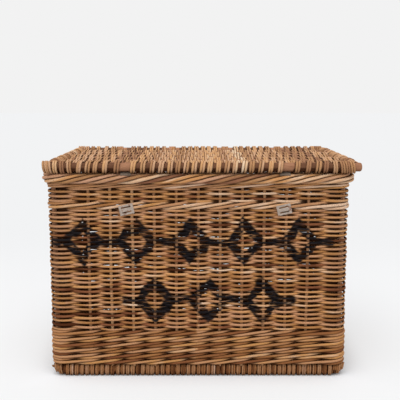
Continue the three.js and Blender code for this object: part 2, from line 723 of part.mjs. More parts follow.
// The walls: woven bands stacked on the foot, corner posts inside them and the plaited border on top.
function walls() {
  const group = new THREE.Group();
  const plain = wallStations(false);
  const staked = wallStations(true);
  const posts = cornerPostChannels();
  const prongs = prongHoles();
  const footWale = wallRing(waleProfile(FOOT_TOP, FOOT_WALE_TOP, FOOT_WALE_ROUND_COUNT), plain);
  group.add(namedMesh('foot_wale', cut(footWale, posts), WICKER_DARK));
  const lower = wallRing(randingProfile(FOOT_WALE_TOP, LOWER_RANDING_TOP), staked);
  const lowerCuts = [...posts, ...prongs, ...handleSockets()];
  group.add(namedMesh('lower_randing', cut(lower, lowerCuts), WICKER));
  const mid = wallRing(waleProfile(LOWER_RANDING_TOP, MID_WALE_TOP, 1), plain);
  group.add(namedMesh('mid_wale', cut(mid, [...posts, ...prongs]), WICKER_DARK));
  const upper = wallRing(randingProfile(MID_WALE_TOP, UPPER_RANDING_TOP), staked);
  group.add(namedMesh('upper_randing', cut(upper, posts), WICKER));
  const top = wallRing(waleProfile(UPPER_RANDING_TOP, TOP_WALE_TOP, 1), plain);
  group.add(namedMesh('top_wale', cut(top, [...posts, ...hingeSlots()]), WICKER_DARK));
  group.add(namedMesh('rim_border', wallRing(rimProfile(), plain), CANE));
  for (const [word, signX, signY] of CORNERS) {
    const post = uprightPrism(CORNER_POST_DIAMETER / 2, FOOT_TOP + GAP, TOP_WALE_TOP - GAP, STICK_SIDES);
    post.translate(...cornerPostPlace(signX, signY), 0);
    group.add(namedMesh(`corner_post_${word}`, post, POLE_WOOD));
  }
  return group;
}

// The woven base, whose frame is the foot that the hamper stands on. Its strands go round the front and
// back poles side by side, as one close wrapping.
function base() {
  const panel = wovenPanel('base', FOOT_WIDTH, FOOT_DEPTH, {
    lashed: false,
    columnWidth: BASE_COLUMN_WIDTH,
    loopPlaces: () => [0],
    loopWidth: FOOT_WIDTH - 2 * FRAME_THICKNESS,
    flatLoops: true,
    endChamfer: FOOT_END_CHAMFER,
    clearances: [],
  });
  panel.position.z = FRAME_THICKNESS / 2;
  return panel;
}

// The lid, drawn round its own middle and set down on the rim.
function lid() {
  const hinges = HINGE_PLACES.map((x) => x - LID_SHIFT);
  const closures = CLOSURE_PLACES.map((x) => x - LID_SHIFT);
  const loopReach = LID_WIDTH / 2 - LASHING_END_SHOW - LASHING_LENGTH - GAP;
  const loopPlaces = (side) => {
    const bare = side < 0 ? closures : hinges;
    const room = (side < 0 ? SADDLE_WIDTH / 2 : HINGE_ROOM) + LOOP_WIDTH / 2;
    const isClear = (x) => bare.every((place) => Math.abs(x - place) >= room);
    return centredRow(loopReach, LID_LOOP_PITCH).filter(isClear);
  };
  const swingRadius = POLE_RADIUS + HINGE_CLEARANCE + HINGE_CANE + HINGE_SWING_CLEARANCE;
  const clearances = hinges.map((x) => {
    const room = prismAlongX(aroundCircle(swingRadius, POLE_SIDES), 2 * HINGE_ROOM, POLE_SIDES);
    room.translate(x, LID_POLE_Y, 0);
    return room;
  });
  const lashingMid = LID_WIDTH / 2 - LASHING_END_SHOW - POLE_END_CHAMFER - LASHING_LENGTH / 2;
  for (const [, signX, signY] of CORNERS) {
    const room = new THREE.BoxGeometry(
      LASHING_LENGTH + 2 * GAP,
      2 * (LOOP_RADIUS + GAP),
      2 * (LOOP_RADIUS + GAP),
    );
    room.translate(signX * lashingMid, signY * LID_POLE_Y, 0);
    clearances.push(room);
  }
  const panel = wovenPanel('lid', LID_WIDTH, LID_DEPTH, {
    lashed: true,
    columnWidth: LID_COLUMN_WIDTH,
    loopPlaces,
    loopWidth: LOOP_WIDTH,
    flatLoops: false,
    endChamfer: POLE_END_CHAMFER,
    clearances,
  });
  for (const [word, signX, signY] of CORNERS) {
    const wrap = lashing();
    wrap.translate(signX * lashingMid, signY * LID_POLE_Y, 0);
    panel.add(namedMesh(`lid_lashing_${word}`, wrap, CANE));
  }
  panel.position.set(LID_SHIFT, 0, LID_MID);
  return panel;
}

// The fittings of the body: strap closures, hinge loops and handles.
function fittings() {
  const group = new THREE.Group();
  CLOSURE_PLACES.forEach((x, i) => {
    group.add(namedMesh(`keeper_plate_${CLOSURE_NAMES[i]}`, keeperPlate(x), PLATE_METAL));
    group.add(namedMesh(`backing_plate_${CLOSURE_NAMES[i]}`, backingPlate(x), PLATE_METAL));
    group.add(namedMesh(`rim_saddle_${CLOSURE_NAMES[i]}`, rimSaddle(x), LEATHER));
  });
  HINGE_PLACES.forEach((x, i) => {
    group.add(namedMesh(`hinge_loop_${i + 1}`, hingeLoop(x), CANE));
  });
  group.add(namedMesh('handle_left', bowHandle(-1), CANE));
  group.add(namedMesh('handle_right', bowHandle(1), CANE));
  return group;
}

const hamper = new THREE.Group();
hamper.add(base());
hamper.add(walls());
hamper.add(fittings());
hamper.add(lid());

export default hamper;
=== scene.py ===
"""Look of a rectangular wicker laundry hamper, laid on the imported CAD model's middle lines.

Every stake, weaver, wale rod, lid strand and lashing is its own strand of aged rattan. Lengths in
the classes of pieces are in millimetres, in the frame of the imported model, and those in the finishes
and the studio are in metres, as the meshes are.
"""

import itertools
import logging
import math
from collections.abc import Callable
from dataclasses import dataclass, field
from enum import Enum, IntEnum

import bmesh
import bpy
import numpy as np
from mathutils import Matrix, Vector
from numpy.random import Generator, default_rng


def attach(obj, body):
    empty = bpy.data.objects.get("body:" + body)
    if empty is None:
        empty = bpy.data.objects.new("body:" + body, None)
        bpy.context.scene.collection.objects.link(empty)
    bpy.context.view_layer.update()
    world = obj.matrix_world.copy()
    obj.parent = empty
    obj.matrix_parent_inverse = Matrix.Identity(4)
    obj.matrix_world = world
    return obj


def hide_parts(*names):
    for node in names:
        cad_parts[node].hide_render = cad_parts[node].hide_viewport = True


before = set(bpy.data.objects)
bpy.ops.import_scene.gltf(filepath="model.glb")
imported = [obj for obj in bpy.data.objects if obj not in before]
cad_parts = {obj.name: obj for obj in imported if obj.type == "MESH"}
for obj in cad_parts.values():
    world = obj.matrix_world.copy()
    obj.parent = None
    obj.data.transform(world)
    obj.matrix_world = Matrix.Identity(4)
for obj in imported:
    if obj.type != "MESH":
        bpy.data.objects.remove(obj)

log = logging.getLogger("hamper")

MM = 0.001
TAU = 2 * math.pi
UP = np.array([0.0, 0.0, 1.0])
RIGHT = np.array([1.0, 0.0, 0.0])
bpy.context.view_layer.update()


class Body(Enum):
    """The two moving bodies of the hamper."""

    BASKET = "basket"
    LID = "lid"


class Slot(Enum):
    """The finish slots of the record."""

    WICKER = "wicker"
    WALE = "wale"
    CANE = "cane"
    POLE = "pole"
    PLATE = "plate"
    LEATHER = "leather"


class Side(IntEnum):
    """The left and the right of the hamper, as the sign of x."""

    LEFT = -1
    RIGHT = 1


class End(IntEnum):
    """The front and the back of the hamper, as the sign of y."""

    FRONT = -1
    BACK = 1


def word(way: "Side | End") -> str:
    """Returns the word for a side or an end that the nodes' names use."""
    return way.name.lower()


def added(name: str, data: bpy.types.ID) -> bpy.types.Object:
    """Adds an object of that name and data to the scene and returns it."""
    made = bpy.data.objects.new(name, data)
    bpy.context.scene.collection.objects.link(made)
    return made


def linear(red: float, green: float, blue: float) -> tuple[float, float, float, float]:
    """Turns a colour of three display values from 0 to 255 into a linear colour with alpha.

    Args:
        red: Display red.
        green: Display green.
        blue: Display blue.

    Returns:
        The linear red, green and blue, and an alpha of 1.
    """
    shares = [value / 255 for value in (red, green, blue)]
    parts = [s / 12.92 if s <= 0.04045 else ((s + 0.055) / 1.055) ** 2.4 for s in shares]
    return (parts[0], parts[1], parts[2], 1.0)


Triple = tuple[float, float, float]
Tone = tuple[int, int, int]


def operation(name: str, is_swapped: bool = False) -> "Callable[..., Value]":
    """Makes a method of Value that adds a Math node.

    Args:
        name: The node's operation.
        is_swapped: Whether the method's own value comes last.

    Returns:
        The method. It takes the other value, if there is one, and returns the node's result.
    """

    def method(self: "Value", *others: "Value | float") -> "Value":
        """Adds the node and returns its result."""
        inputs = (*others, self) if is_swapped else (self, *others)
        return self.shader.node("ShaderNodeMath", {"operation": name}, dict(enumerate(inputs)))

    return method


class Value:
    """A shader socket of one number that can be used in Python expressions."""

    __add__, __radd__ = operation("ADD"), operation("ADD", True)
    __sub__, __rsub__ = operation("SUBTRACT"), operation("SUBTRACT", True)
    __mul__, __rmul__ = operation("MULTIPLY"), operation("MULTIPLY", True)
    __truediv__, __abs__ = operation("DIVIDE"), operation("ABSOLUTE")
    rounded, at_most, at_least = operation("ROUND"), operation("MINIMUM"), operation("MAXIMUM")

    def __init__(self, shader: "Shader", socket: bpy.types.NodeSocket) -> None:
        """Keeps the socket and the shader that new Math nodes go to."""
        self.shader = shader
        self.socket = socket

    def rise(self, low: float, high: float) -> "Value":
        """Returns a smooth step of self.

        Args:
            low: Where the step starts from 0.
            high: Where the step reaches 1.

        Returns:
            The step, from 0 to 1.
        """
        settings = {"interpolation_type": "SMOOTHSTEP"}
        inputs = {"Value": self, "From Min": low, "From Max": high}
        return self.shader.node("ShaderNodeMapRange", settings, inputs)


class Shader:
    """A material or a world that is put together from nodes."""

    def __init__(self, name: str, kind: str = "materials") -> None:
        """Makes an empty node material of that name, or a world where kind is "worlds"."""
        self.made = getattr(bpy.data, kind).new(name)
        self.made.use_nodes = True
        self.tree = self.made.node_tree
        self.tree.nodes.clear()

    def node(self, kind: str, settings: dict, inputs: dict, output: int | str = 0) -> Value:
        """Adds a node.

        Args:
            kind: The node's type.
            settings: Its settings by name. "stops" holds a ramp's stops as (place, colour).
            inputs: Values, colours or links of its sockets, by name or number.
            output: The output socket that is wanted, by name or number.

        Returns:
            That output as a Value.
        """
        made = self.tree.nodes.new(kind)
        for name, setting in settings.items():
            if name == "stops":
                self._set_stops(made.color_ramp, setting)
            else:
                setattr(made, name, setting)
        for name, given in inputs.items():
            if isinstance(given, Value):
                self.tree.links.new(given.socket, made.inputs[name])
            else:
                made.inputs[name].default_value = given
        return Value(self, made.outputs[output])

    @staticmethod
    def _set_stops(ramp: bpy.types.ColorRamp, stops: list[tuple[float, tuple]]) -> None:
        """Gives a ramp its stops."""
        while len(ramp.elements) < len(stops):
            ramp.elements.new(1.0)
        for element, (place, colour) in zip(ramp.elements, stops):
            element.position = place
            element.color = colour

    def attribute(self, name: str, output: str = "Vector") -> Value:
        """Returns a mesh attribute as a vector, or as another output of its node."""
        return self.node("ShaderNodeAttribute", {"attribute_name": name}, {}, output)

    def parts(self, vector: Value) -> tuple[Value, Value, Value]:
        """Returns the three parts of a vector."""
        first = self.node("ShaderNodeSeparateXYZ", {}, {0: vector}, 0)
        outputs = first.socket.node.outputs
        return first, Value(self, outputs[1]), Value(self, outputs[2])

    def place(self) -> Value:
        """Returns the place on the piece, in metres in the hamper's frame."""
        return self.node("ShaderNodeTexCoord", {}, {}, "Object")

    def scaled(self, vector: Value, scales: "Triple | float") -> Value:
        """Returns a vector times three numbers, or times one number in all its parts."""
        factors = scales if isinstance(scales, tuple) else (scales,) * 3
        return self.node("ShaderNodeVectorMath", {"operation": "MULTIPLY"}, {0: vector, 1: factors})

    def noise(self, vector: Value, scales: "Triple | float", detail: float) -> Value:
        """Returns noise from 0 to 1.

        Args:
            vector: The place.
            scales: How many waves a metre the noise has, along each part of the place or along all.
            detail: The noise's number of octaves.

        Returns:
            The noise.
        """
        inputs = {"Vector": self.scaled(vector, scales), "Scale": 1.0, "Detail": detail}
        return self.node("ShaderNodeTexNoise", {}, inputs)

    def ramp(self, step: Value, stops: "list[tuple[float, Tone]]") -> Value:
        """Returns the colour at a step from 0 to 1 of a ramp.

        Args:
            step: The step.
            stops: Places on the ramp, each with a display colour from 0 to 255.

        Returns:
            The colour.
        """
        settings = {"stops": [(place, linear(*tone)) for place, tone in stops]}
        return self.node("ShaderNodeValToRGB", settings, {"Fac": step})

    def mix(self, share: Value, first: "Value | tuple", second: "Value | tuple") -> Value:
        """Returns a mix of two colours.

        Args:
            share: How much of the second colour goes in.
            first: The first colour.
            second: The second colour.

        Returns:
            The mixed colour.
        """
        settings = {"data_type": "RGBA", "clamp_factor": True}
        return self.node("ShaderNodeMix", settings, {0: share, 6: first, 7: second}, 2)

    def bump(self, height: Value, strength: float, distance: float) -> Value:
        """Returns a normal that is tilted by a height in metres times distance."""
        inputs = {"Height": height, "Strength": strength, "Distance": distance}
        return self.node("ShaderNodeBump", {}, inputs)

    def surface(self, inputs: dict) -> bpy.types.Material:
        """Ends the material with a Principled surface.

        Args:
            inputs: Values or links of the surface's sockets.

        Returns:
            The material.
        """
        return self.end(self.node("ShaderNodeBsdfPrincipled", {}, inputs))

    def end(self, surface: Value, kind: str = "Material") -> "bpy.types.Material | bpy.types.World":
        """Ends the material, or the world where kind is "World", with a surface and returns it."""
        output = self.tree.nodes.new(f"ShaderNodeOutput{kind}")
        self.tree.links.new(surface.socket, output.inputs["Surface"])
        return self.made


@dataclass(frozen=True)
class CaneFinish:
    """Aged rattan, whose tone changes from strand to strand.

    Attributes:
        name: The material's name.
        tones: Display colours from the darkest to the palest tone.
        roughness: Middle roughness.
        streak: Strength of the streaks along a strand.
        blotch: Strength of the blotches.
        grain: Strength of the bump of the fibres.
        relief: Height of that bump in metres.
        shade: Colour of the painted shade in the crevices between strands.
        shade_share: How much of that painted shade a crevice takes.
        crevice: The painted shade value where a crevice's colour begins, and where it is full.
        ragged: How far the blotches move the edge of the crevices.
        scar: Colour of the small scars.
        scar_share: How much of that colour a scar takes.
        scar_edge: The specks' values where a scar begins, and where it is full.
        gloss: The level of its reflections.
        painted: Whether the worn black ornament of the front reaches this piece.
        streak_waves: Waves a metre of the streaks, along a strand and across it.
        blotch_waves: Those of the blotches.
        speck_waves: Those of the specks.
    """

    name: str
    tones: tuple[Tone, ...]
    roughness: float = 0.55
    streak: float = 0.30
    blotch: float = 0.42
    grain: float = 0.35
    relief: float = 0.0008
    shade: Tone = (52, 22, 5)
    shade_share: float = 0.92
    crevice: tuple[float, float] = (0.24, 0.78)
    ragged: float = 0.25
    scar: Tone = (72, 40, 18)
    scar_share: float = 0.55
    scar_edge: tuple[float, float] = (0.66, 0.74)
    gloss: float = 0.05
    painted: bool = False
    streak_waves: Triple = (22.0, 520.0, 520.0)
    blotch_waves: Triple = (16.0, 70.0, 70.0)
    speck_waves: Triple = (210.0, 260.0, 260.0)

    def material(self) -> bpy.types.Material:
        """Returns the finish as a material."""
        shader = Shader(self.name)
        tone, _, painted_shade = shader.parts(shader.attribute("tone"))
        fibre = shader.attribute("fibre")
        streaks = shader.noise(fibre, self.streak_waves, 3.0)
        blotches = shader.noise(fibre, self.blotch_waves, 2.0)
        specks = shader.noise(fibre, self.speck_waves, 2.0)
        step = tone + (streaks - 0.5) * self.streak + (blotches - 0.5) * self.blotch
        last = len(self.tones) - 1
        colour = shader.ramp(step, [(i / last, shown) for i, shown in enumerate(self.tones)])
        scars = specks.rise(*self.scar_edge) * self.scar_share
        colour = shader.mix(scars, colour, linear(*self.scar))
        # Painted shade: crevices, hidden sides and undersides take the shade colour.
        shade_mask = painted_shade + (blotches - 0.5) * self.ragged
        shade_mask = shade_mask.rise(*self.crevice) * self.shade_share
        colour = shader.mix(shade_mask, colour, linear(*self.shade))
        roughness = self.roughness + (blotches - 0.5) * 0.3 + painted_shade * 0.2
        if self.painted:
            paint, black = Ornament().paint(shader, streaks, blotches, painted_shade)
            colour = shader.mix(paint, colour, black)
            roughness = roughness - paint * 0.08
        inputs = {
            "Base Color": colour,
            "Roughness": roughness,
            "Normal": shader.bump(streaks + specks * 0.4, self.grain, self.relief),
            "Specular IOR Level": self.gloss,
        }
        return shader.surface(inputs)


@dataclass(frozen=True)
class Ornament:
    """The worn black ornament painted on the front: two rows of diamonds joined by bars.

    Lengths are in metres, in the hamper's frame.

    Attributes:
        front: The depth up to which the paint reaches into the weave.
        fade: How far in front of that it begins to fade.
        rows: Each row's middle across the front, its height and its number of diamonds.
        pitch: Distance from one diamond to the next.
        half_width: Half a diamond's width.
        half_height: Half its height.
        hole: The share of a diamond that stays bare in its middle.
        bar: Half the height of the bars between the diamonds.
        reach: How far the outer bars reach past the outer diamonds' middles, in half widths.
        edge: How soft its edges are, as a share of a diamond.
        wobble: How far its outline strays to the side and upwards.
        ink: Display colour of the paint.
        rubbed: Display colour of the paint where it is rubbed.
    """

    front: float = -0.262
    fade: float = 0.006
    rows: tuple[tuple[float, float, int], ...] = ((-0.022, 0.405, 5), (0.03, 0.232, 3))
    pitch: float = 0.155
    half_width: float = 0.064
    half_height: float = 0.071
    hole: float = 0.36
    bar: float = 0.011
    reach: tuple[float, float] = (1.45, 1.6)
    edge: float = 0.16
    wobble: tuple[float, float] = (0.030, -0.026)
    ink: Tone = (22, 19, 21)
    rubbed: Tone = (58, 50, 50)

    def _row(self, x: Value, z: Value, centre: float, middle: float, count: int) -> Value:
        """Returns the mask of one row.

        Args:
            x: Place across the front.
            z: Height.
            centre: The row's middle across the front.
            middle: The row's height.
            count: How many diamonds it has.

        Returns:
            The mask, from 0 to 1.
        """
        half = (count - 1) / 2 * self.pitch
        across = x - centre
        half_step = 0 if count % 2 else 0.5
        nearest = ((across / self.pitch + half_step).rounded() - half_step) * self.pitch
        nearest = nearest.at_most(half).at_least(-half)
        side = abs(across - nearest) / self.half_width
        height = abs(z - middle) / self.half_height
        far = side + height
        ring = 1 - far.rise(1 - self.edge / 2, 1 + self.edge / 2)
        hole = 1 - far.rise(self.hole, self.hole + self.edge)
        diamonds = (ring - hole).at_least(0.0)
        bar = 1 - abs(z - middle).rise(self.bar * 0.7, self.bar * 1.3)
        begins, stops = (half + self.half_width * reach for reach in self.reach)
        ends = 1 - abs(across).rise(begins, stops)
        between = far.rise(0.8, 0.9)
        return diamonds.at_least(bar * ends * between)

    def paint(
        self, shader: Shader, streaks: Value, blotches: Value, painted_shade: Value
    ) -> tuple[Value, Value]:
        """Returns where the paint is, and its colour.

        Args:
            shader: The material's shader.
            streaks: Fine noise along the strands.
            blotches: Coarse noise.
            painted_shade: The strands' painted shade, over which the paint is thinner.

        Returns:
            The mask, from 0 to 1, and the colour.
        """
        place = shader.place()
        x, y, z = shader.parts(place)
        wobble = shader.noise(place, 24.0, 2.0) - 0.5
        x = x + wobble * self.wobble[0]
        z = z + wobble * self.wobble[1]
        upper, lower = (self._row(x, z, *row) for row in self.rows)
        worn = (blotches * 0.55 + streaks * 0.45).rise(0.36, 0.47)
        mask = upper.at_least(lower) * worn * (1 - y.rise(self.front - self.fade, self.front))
        mask = mask * (1 - painted_shade.rise(0.45, 0.9) * 0.5)
        rubbing = streaks.rise(0.45, 0.7) * 0.5
        return mask, shader.mix(rubbing, linear(*self.ink), linear(*self.rubbed))


RANDING_CANE = CaneFinish(
    "randing_cane",
    ((82, 44, 22), (140, 88, 58), (174, 122, 72), (194, 144, 108), (202, 145, 88), (226, 190, 158)),
    painted=True,
)
WALE_CANE = CaneFinish(
    "wale_cane",
    ((76, 38, 16), (130, 80, 50), (164, 112, 66), (192, 142, 104), (196, 140, 82), (224, 188, 158)),
    painted=True,
)
RIM_CANE = CaneFinish(
    "rim_cane",
    (
        (94, 54, 30),
        (150, 102, 76),
        (182, 134, 88),
        (206, 158, 128),
        (208, 148, 90),
        (232, 198, 166),
    ),
    streak=0.42,
)
LID_CANE = CaneFinish(
    "lid_cane",
    (
        (102, 62, 36),
        (152, 108, 80),
        (184, 138, 96),
        (204, 162, 128),
        (204, 154, 104),
        (226, 196, 164),
    ),
)
FOOT_CANE = CaneFinish(
    "foot_cane",
    ((70, 34, 12), (112, 70, 42), (146, 98, 60), (172, 128, 92), (152, 100, 60), (190, 152, 124)),
)
POLE_CANE = CaneFinish(
    "peeled_pole",
    ((120, 76, 54), (160, 114, 86), (188, 138, 106), (208, 158, 122)),
    roughness=0.5,
    streak=0.5,
    grain=0.25,
)
STAKE_CANE = CaneFinish(
    "stake_cane",
    ((140, 100, 72), (176, 130, 94), (204, 160, 118), (214, 174, 134)),
    # Colour of the painted shade round the stakes.
    shade=(70, 42, 22),
)


@dataclass(frozen=True)
class WornMetal:
    """Dull weathered steel with dark and rusty spots.

    Attributes:
        name: The material's name.
        tones: Places on the ramp of its colours, each with a display colour.
        rust: Display colour of the rust.
        broad_waves: Waves a metre of the broad spots.
        fine_waves: Waves a metre of the fine ones.
    """

    name: str = "weathered_steel"
    tones: tuple[tuple[float, Tone], ...] = (
        (0.0, (116, 94, 78)),
        (0.4, (172, 154, 140)),
        (0.62, (200, 186, 174)),
        (1.0, (218, 208, 198)),
    )
    rust: Tone = (128, 78, 48)
    broad_waves: float = 70.0
    fine_waves: float = 420.0

    def material(self) -> bpy.types.Material:
        """Returns the finish as a material."""
        shader = Shader(self.name)
        place = shader.place()
        broad = shader.noise(place, self.broad_waves, 3.0)
        fine = shader.noise(place, self.fine_waves, 3.0)
        colour = shader.ramp(broad * 0.7 + fine * 0.3, self.tones)
        rust = (broad + fine * 0.35).rise(0.72, 0.82) * 0.8
        colour = shader.mix(rust, colour, linear(*self.rust))
        normal = shader.bump(fine + broad, 0.3, 0.0005)
        inputs = {
            "Base Color": colour,
            "Metallic": 0.45 - rust * 0.4,
            "Roughness": 0.42 + broad * 0.25 + rust * 0.2,
            "Normal": normal,
        }
        return shader.surface(inputs)


@dataclass(frozen=True)
class WornLeather:
    """Grey-brown leather, dried and creased.

    Attributes:
        name: The material's name.
        tones: Places on the ramp of its colours, each with a display colour.
        crease: Display colour of the creases.
        broad_waves: Waves a metre of its patches.
        grain_waves: Cells a metre of its grain.
    """

    name: str = "dried_leather"
    tones: tuple[tuple[float, Tone], ...] = (
        (0.0, (84, 66, 52)),
        (0.5, (122, 106, 92)),
        (1.0, (152, 138, 124)),
    )
    crease: Tone = (58, 44, 34)
    broad_waves: float = 90.0
    grain_waves: float = 620.0

    def material(self) -> bpy.types.Material:
        """Returns the finish as a material."""
        shader = Shader(self.name)
        place = shader.place()
        broad = shader.noise(place, self.broad_waves, 3.0)
        cells = {"Vector": shader.scaled(place, self.grain_waves), "Scale": 1.0}
        grain = shader.node("ShaderNodeTexVoronoi", {"feature": "DISTANCE_TO_EDGE"}, cells)
        colour = shader.ramp(broad * 0.8 + grain * 0.5, self.tones)
        creases = 1 - grain.rise(0.0, 0.09)
        colour = shader.mix(creases * 0.5, colour, linear(*self.crease))
        normal = shader.bump(grain + broad, 0.5, 0.0004)
        inputs = {"Base Color": colour, "Roughness": 0.68 + broad * 0.2, "Normal": normal}
        return shader.surface(inputs)


Finish = CaneFinish | WornMetal | WornLeather
_materials: dict[str, bpy.types.Material] = {}


def dress(piece: bpy.types.Object, finish: Finish) -> None:
    """Gives a piece its finish, as its only material.

    Args:
        piece: The object.
        finish: The finish.
    """
    if finish.name not in _materials:
        _materials[finish.name] = finish.material()
    piece.data.materials.clear()
    piece.data.materials.append(_materials[finish.name])


def settle(piece: bpy.types.Object, body: Body, slot: Slot, finish: Finish, *nodes: str) -> None:
    """Dresses a piece and fixes it to its body.

    Args:
        piece: The object.
        body: The body it moves with.
        slot: The record's slot of its finish. It is not used.
        finish: Its finish.
        nodes: The CAD nodes it stands for.
    """
    dress(piece, finish)
    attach(piece, body.value)
    if nodes:
        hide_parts(*nodes)
    log.info("%s: %d faces on %s", piece.name, len(piece.data.polygons), body.value)


def unit(vectors: np.ndarray) -> np.ndarray:
    """Returns vectors scaled to a length of 1."""
    lengths = np.linalg.norm(vectors, axis=-1, keepdims=True)
    return vectors / np.maximum(lengths, 1e-9)


def eased(share: np.ndarray) -> np.ndarray:
    """Returns shares from 0 to 1 that leave 0 and reach 1 gently."""
    return (1 - np.cos(np.pi * share)) / 2


def off_zero(values: np.ndarray) -> np.ndarray:
    """Returns values with those close to 0 set to 0.01, so that they still give a direction."""
    return np.where(abs(values) < 0.01, 0.01, values)


def turned(across: np.ndarray, angles: np.ndarray) -> np.ndarray:
    """Returns directions turned by angles from a level one towards the top."""
    return across * np.cos(angles)[:, None] + UP * np.sin(angles)[:, None]


@dataclass
class Strand:
    """One strand: a tube round a path.

    Attributes:
        path: Points of its middle line.
        radius: Its radius towards side, one number or one a point.
        side: The direction that the first axis of its section leans to, one or one a point.
        flat: Its radius across the first axis, as a share of radius, one number or one a point.
        tone: Its tone from 0 to 1, one number or one a point.
        seed: A number that sets its streaks apart from other strands'.
        air: A vector a point towards the open air, which keeps that side free of painted shade,
            and whose length is how much the far side is hidden and darkened with painted shade, up
            to 1. Both flanks are half dark.
        painted_shade: Painted shade all round it, from 0 to 1, one number or one a point.
        closed: Whether it is a ring.
    """

    path: np.ndarray
    radius: "np.ndarray | float"
    side: np.ndarray
    flat: "np.ndarray | float" = 1.0
    tone: "np.ndarray | float" = 0.5
    seed: float = 0.0
    air: "np.ndarray | None" = None
    painted_shade: "np.ndarray | float" = 0.0
    closed: bool = False


@dataclass
class Bundle:
    """Strands that become one mesh.

    Each strand is laid out as a strip of the UV map OFBake, with long strands broken into rows.

    Attributes:
        name: The mesh's name.
        sides: How many sides a strand has.
        under: Further painted shade on the underside of the strands, where no light reaches.
        fill: The share of the UV map that the strips may fill.
        margin: The share of a row's height that stays free at its top and at its bottom.
        cap_inset: How far the middles of the end faces stay inside the map.
        cap_size: Half an end face's size, as shares of the map's width and of a row's height.
        seed_shift: How far a seed moves a strand's fibre places, along in mm and across in metres.
        strands: The strands.
    """

    name: str
    sides: int = 6
    under: float = 0.22
    fill: float = 0.97
    margin: float = 0.06
    cap_inset: float = 0.003
    cap_size: tuple[float, float] = (0.002, 0.3)
    seed_shift: tuple[float, float] = (7300.0, 3.1)
    strands: list[Strand] = field(default_factory=list)

    def add(self, strand: Strand) -> None:
        """Adds a strand."""
        self.strands.append(strand)

    def _rings(self, strand: Strand) -> dict[str, np.ndarray]:
        """Works out a strand's vertices and attributes.

        Args:
            strand: The strand.

        Returns:
            Points, fibre places, tones and lengths along the strand.
        """
        path = np.asarray(strand.path, float)
        count = len(path)

        def each(value: "np.ndarray | float") -> np.ndarray:
            """Returns a number of the strand for each of its points, as a column."""
            return np.broadcast_to(np.asarray(value, float), (count,))[:, None]

        if strand.closed:
            ahead, behind = np.roll(path, -1, 0), np.roll(path, 1, 0)
        else:
            ahead = np.vstack([path[1:], 2 * path[-1:] - path[-2:-1]])
            behind = np.vstack([2 * path[:1] - path[1:2], path[:-1]])
        heading = unit(ahead - behind)
        side = np.broadcast_to(np.asarray(strand.side, float), path.shape)
        first = unit(side - heading * (side * heading).sum(1, keepdims=True))
        second = np.cross(heading, first)
        radius = each(strand.radius)
        turn = np.arange(self.sides) / self.sides * TAU
        cosine, sine = np.cos(turn)[None, :, None], np.sin(turn)[None, :, None]
        across = cosine * first[:, None] + each(strand.flat)[..., None] * sine * second[:, None]
        points = path[:, None] + radius[..., None] * across
        steps = np.linalg.norm(ahead - path, axis=1)
        along = np.concatenate([[0.0], np.cumsum(steps[:-1])])
        shift_along, shift_across = self.seed_shift
        fibre = np.empty((count, self.sides, 3))
        fibre[..., 0] = (along[:, None] + strand.seed * shift_along) * MM
        fibre[..., 1] = radius * np.cos(turn) * MM
        fibre[..., 2] = radius * np.sin(turn) * MM
        fibre[..., 1] += strand.seed * shift_across
        tone = np.empty((count, self.sides, 3))
        tone[..., 0] = each(strand.tone)
        tone[..., 1] = strand.seed
        tone[..., 2] = each(strand.painted_shade)
        # Painted shade: darker on the side away from the open air, and on the underside.
        if strand.air is not None:
            openness = np.maximum(np.linalg.norm(strand.air, axis=1), 0.02)[:, None]
            facing = (unit(across) * unit(strand.air)[:, None]).sum(2)
            tone[..., 2] += 0.5 - 0.5 * (openness * facing + (1 - openness) * abs(facing))
        tone[..., 2] += self.under * np.clip(-unit(across)[..., 2], 0.0, 1.0)
        tone[..., 2] = np.clip(tone[..., 2], 0.0, 1.0)
        segments = steps if strand.closed else steps[:-1]
        return {"points": points, "fibre": fibre, "tone": tone, "segments": segments}

    def _faces(
        self, made: list[dict[str, np.ndarray]]
    ) -> tuple[np.ndarray, list[np.ndarray], np.ndarray]:
        """Joins the rings of points to faces and lays the faces out on the UV map.

        Args:
            made: Each strand's vertices and lengths.

        Returns:
            The side faces, the end faces and the UV places of all their corners.
        """
        total = sum(rings["segments"].sum() for rings in made)
        girth = np.mean([TAU * np.mean(s.radius) for s in self.strands])
        longest = max(rings["segments"].max() for rings in made)
        scale = math.sqrt(self.fill / (total * girth))
        usable = max(self.fill / scale - longest, longest)
        rows = math.ceil((total + longest) / usable) + 1
        quads, caps, uvs, cap_uvs = [], [], [], []
        start, cursor = 0, 0.0
        steps = np.arange(self.sides)
        after = (steps + 1) % self.sides
        inner, width = 1 - 2 * self.margin, 1 - 2 * self.cap_inset
        long, high_share = self.cap_size
        for strand, rings in zip(self.strands, made):
            count = len(rings["points"])
            segments = rings["segments"]
            here = start + np.arange(len(segments))[:, None] * self.sides
            there = start + ((np.arange(len(segments)) + 1) % count)[:, None] * self.sides
            corners = [here + steps, here + after, there + after, there + steps]
            quads.append(np.stack(corners, -1).reshape(-1, 4))
            begins = cursor + np.concatenate([[0.0], np.cumsum(segments[:-1])])
            row = np.floor(begins / usable)
            low = (begins - row * usable) / (usable + longest)
            high = low + segments / (usable + longest)
            down = (row[:, None] + self.margin + inner * steps / self.sides) / rows
            up = (row[:, None] + self.margin + inner * (steps + 1) / self.sides) / rows
            low, high = (np.broadcast_to(edge[:, None], down.shape) for edge in (low, high))
            places = [(low, down), (low, up), (high, up), (high, down)]
            uvs.append(np.stack([np.stack(place, -1) for place in places], 2).reshape(-1, 2))
            if not strand.closed:
                caps += [start + steps[::-1], start + (count - 1) * self.sides + steps]
                for end, flip in ((0, -1), (-1, 1)):
                    middle = [self.cap_inset + width * low[end, 0], (row[end] + 0.5) / rows]
                    turn = flip * steps / self.sides * TAU
                    circle = np.stack([np.cos(turn) * long, np.sin(turn) * high_share / rows], -1)
                    cap_uvs.append(np.array(middle) + circle)
            start += count * self.sides
            cursor = begins[-1] + segments[-1]
        return np.concatenate(quads), caps, np.concatenate(uvs + cap_uvs)

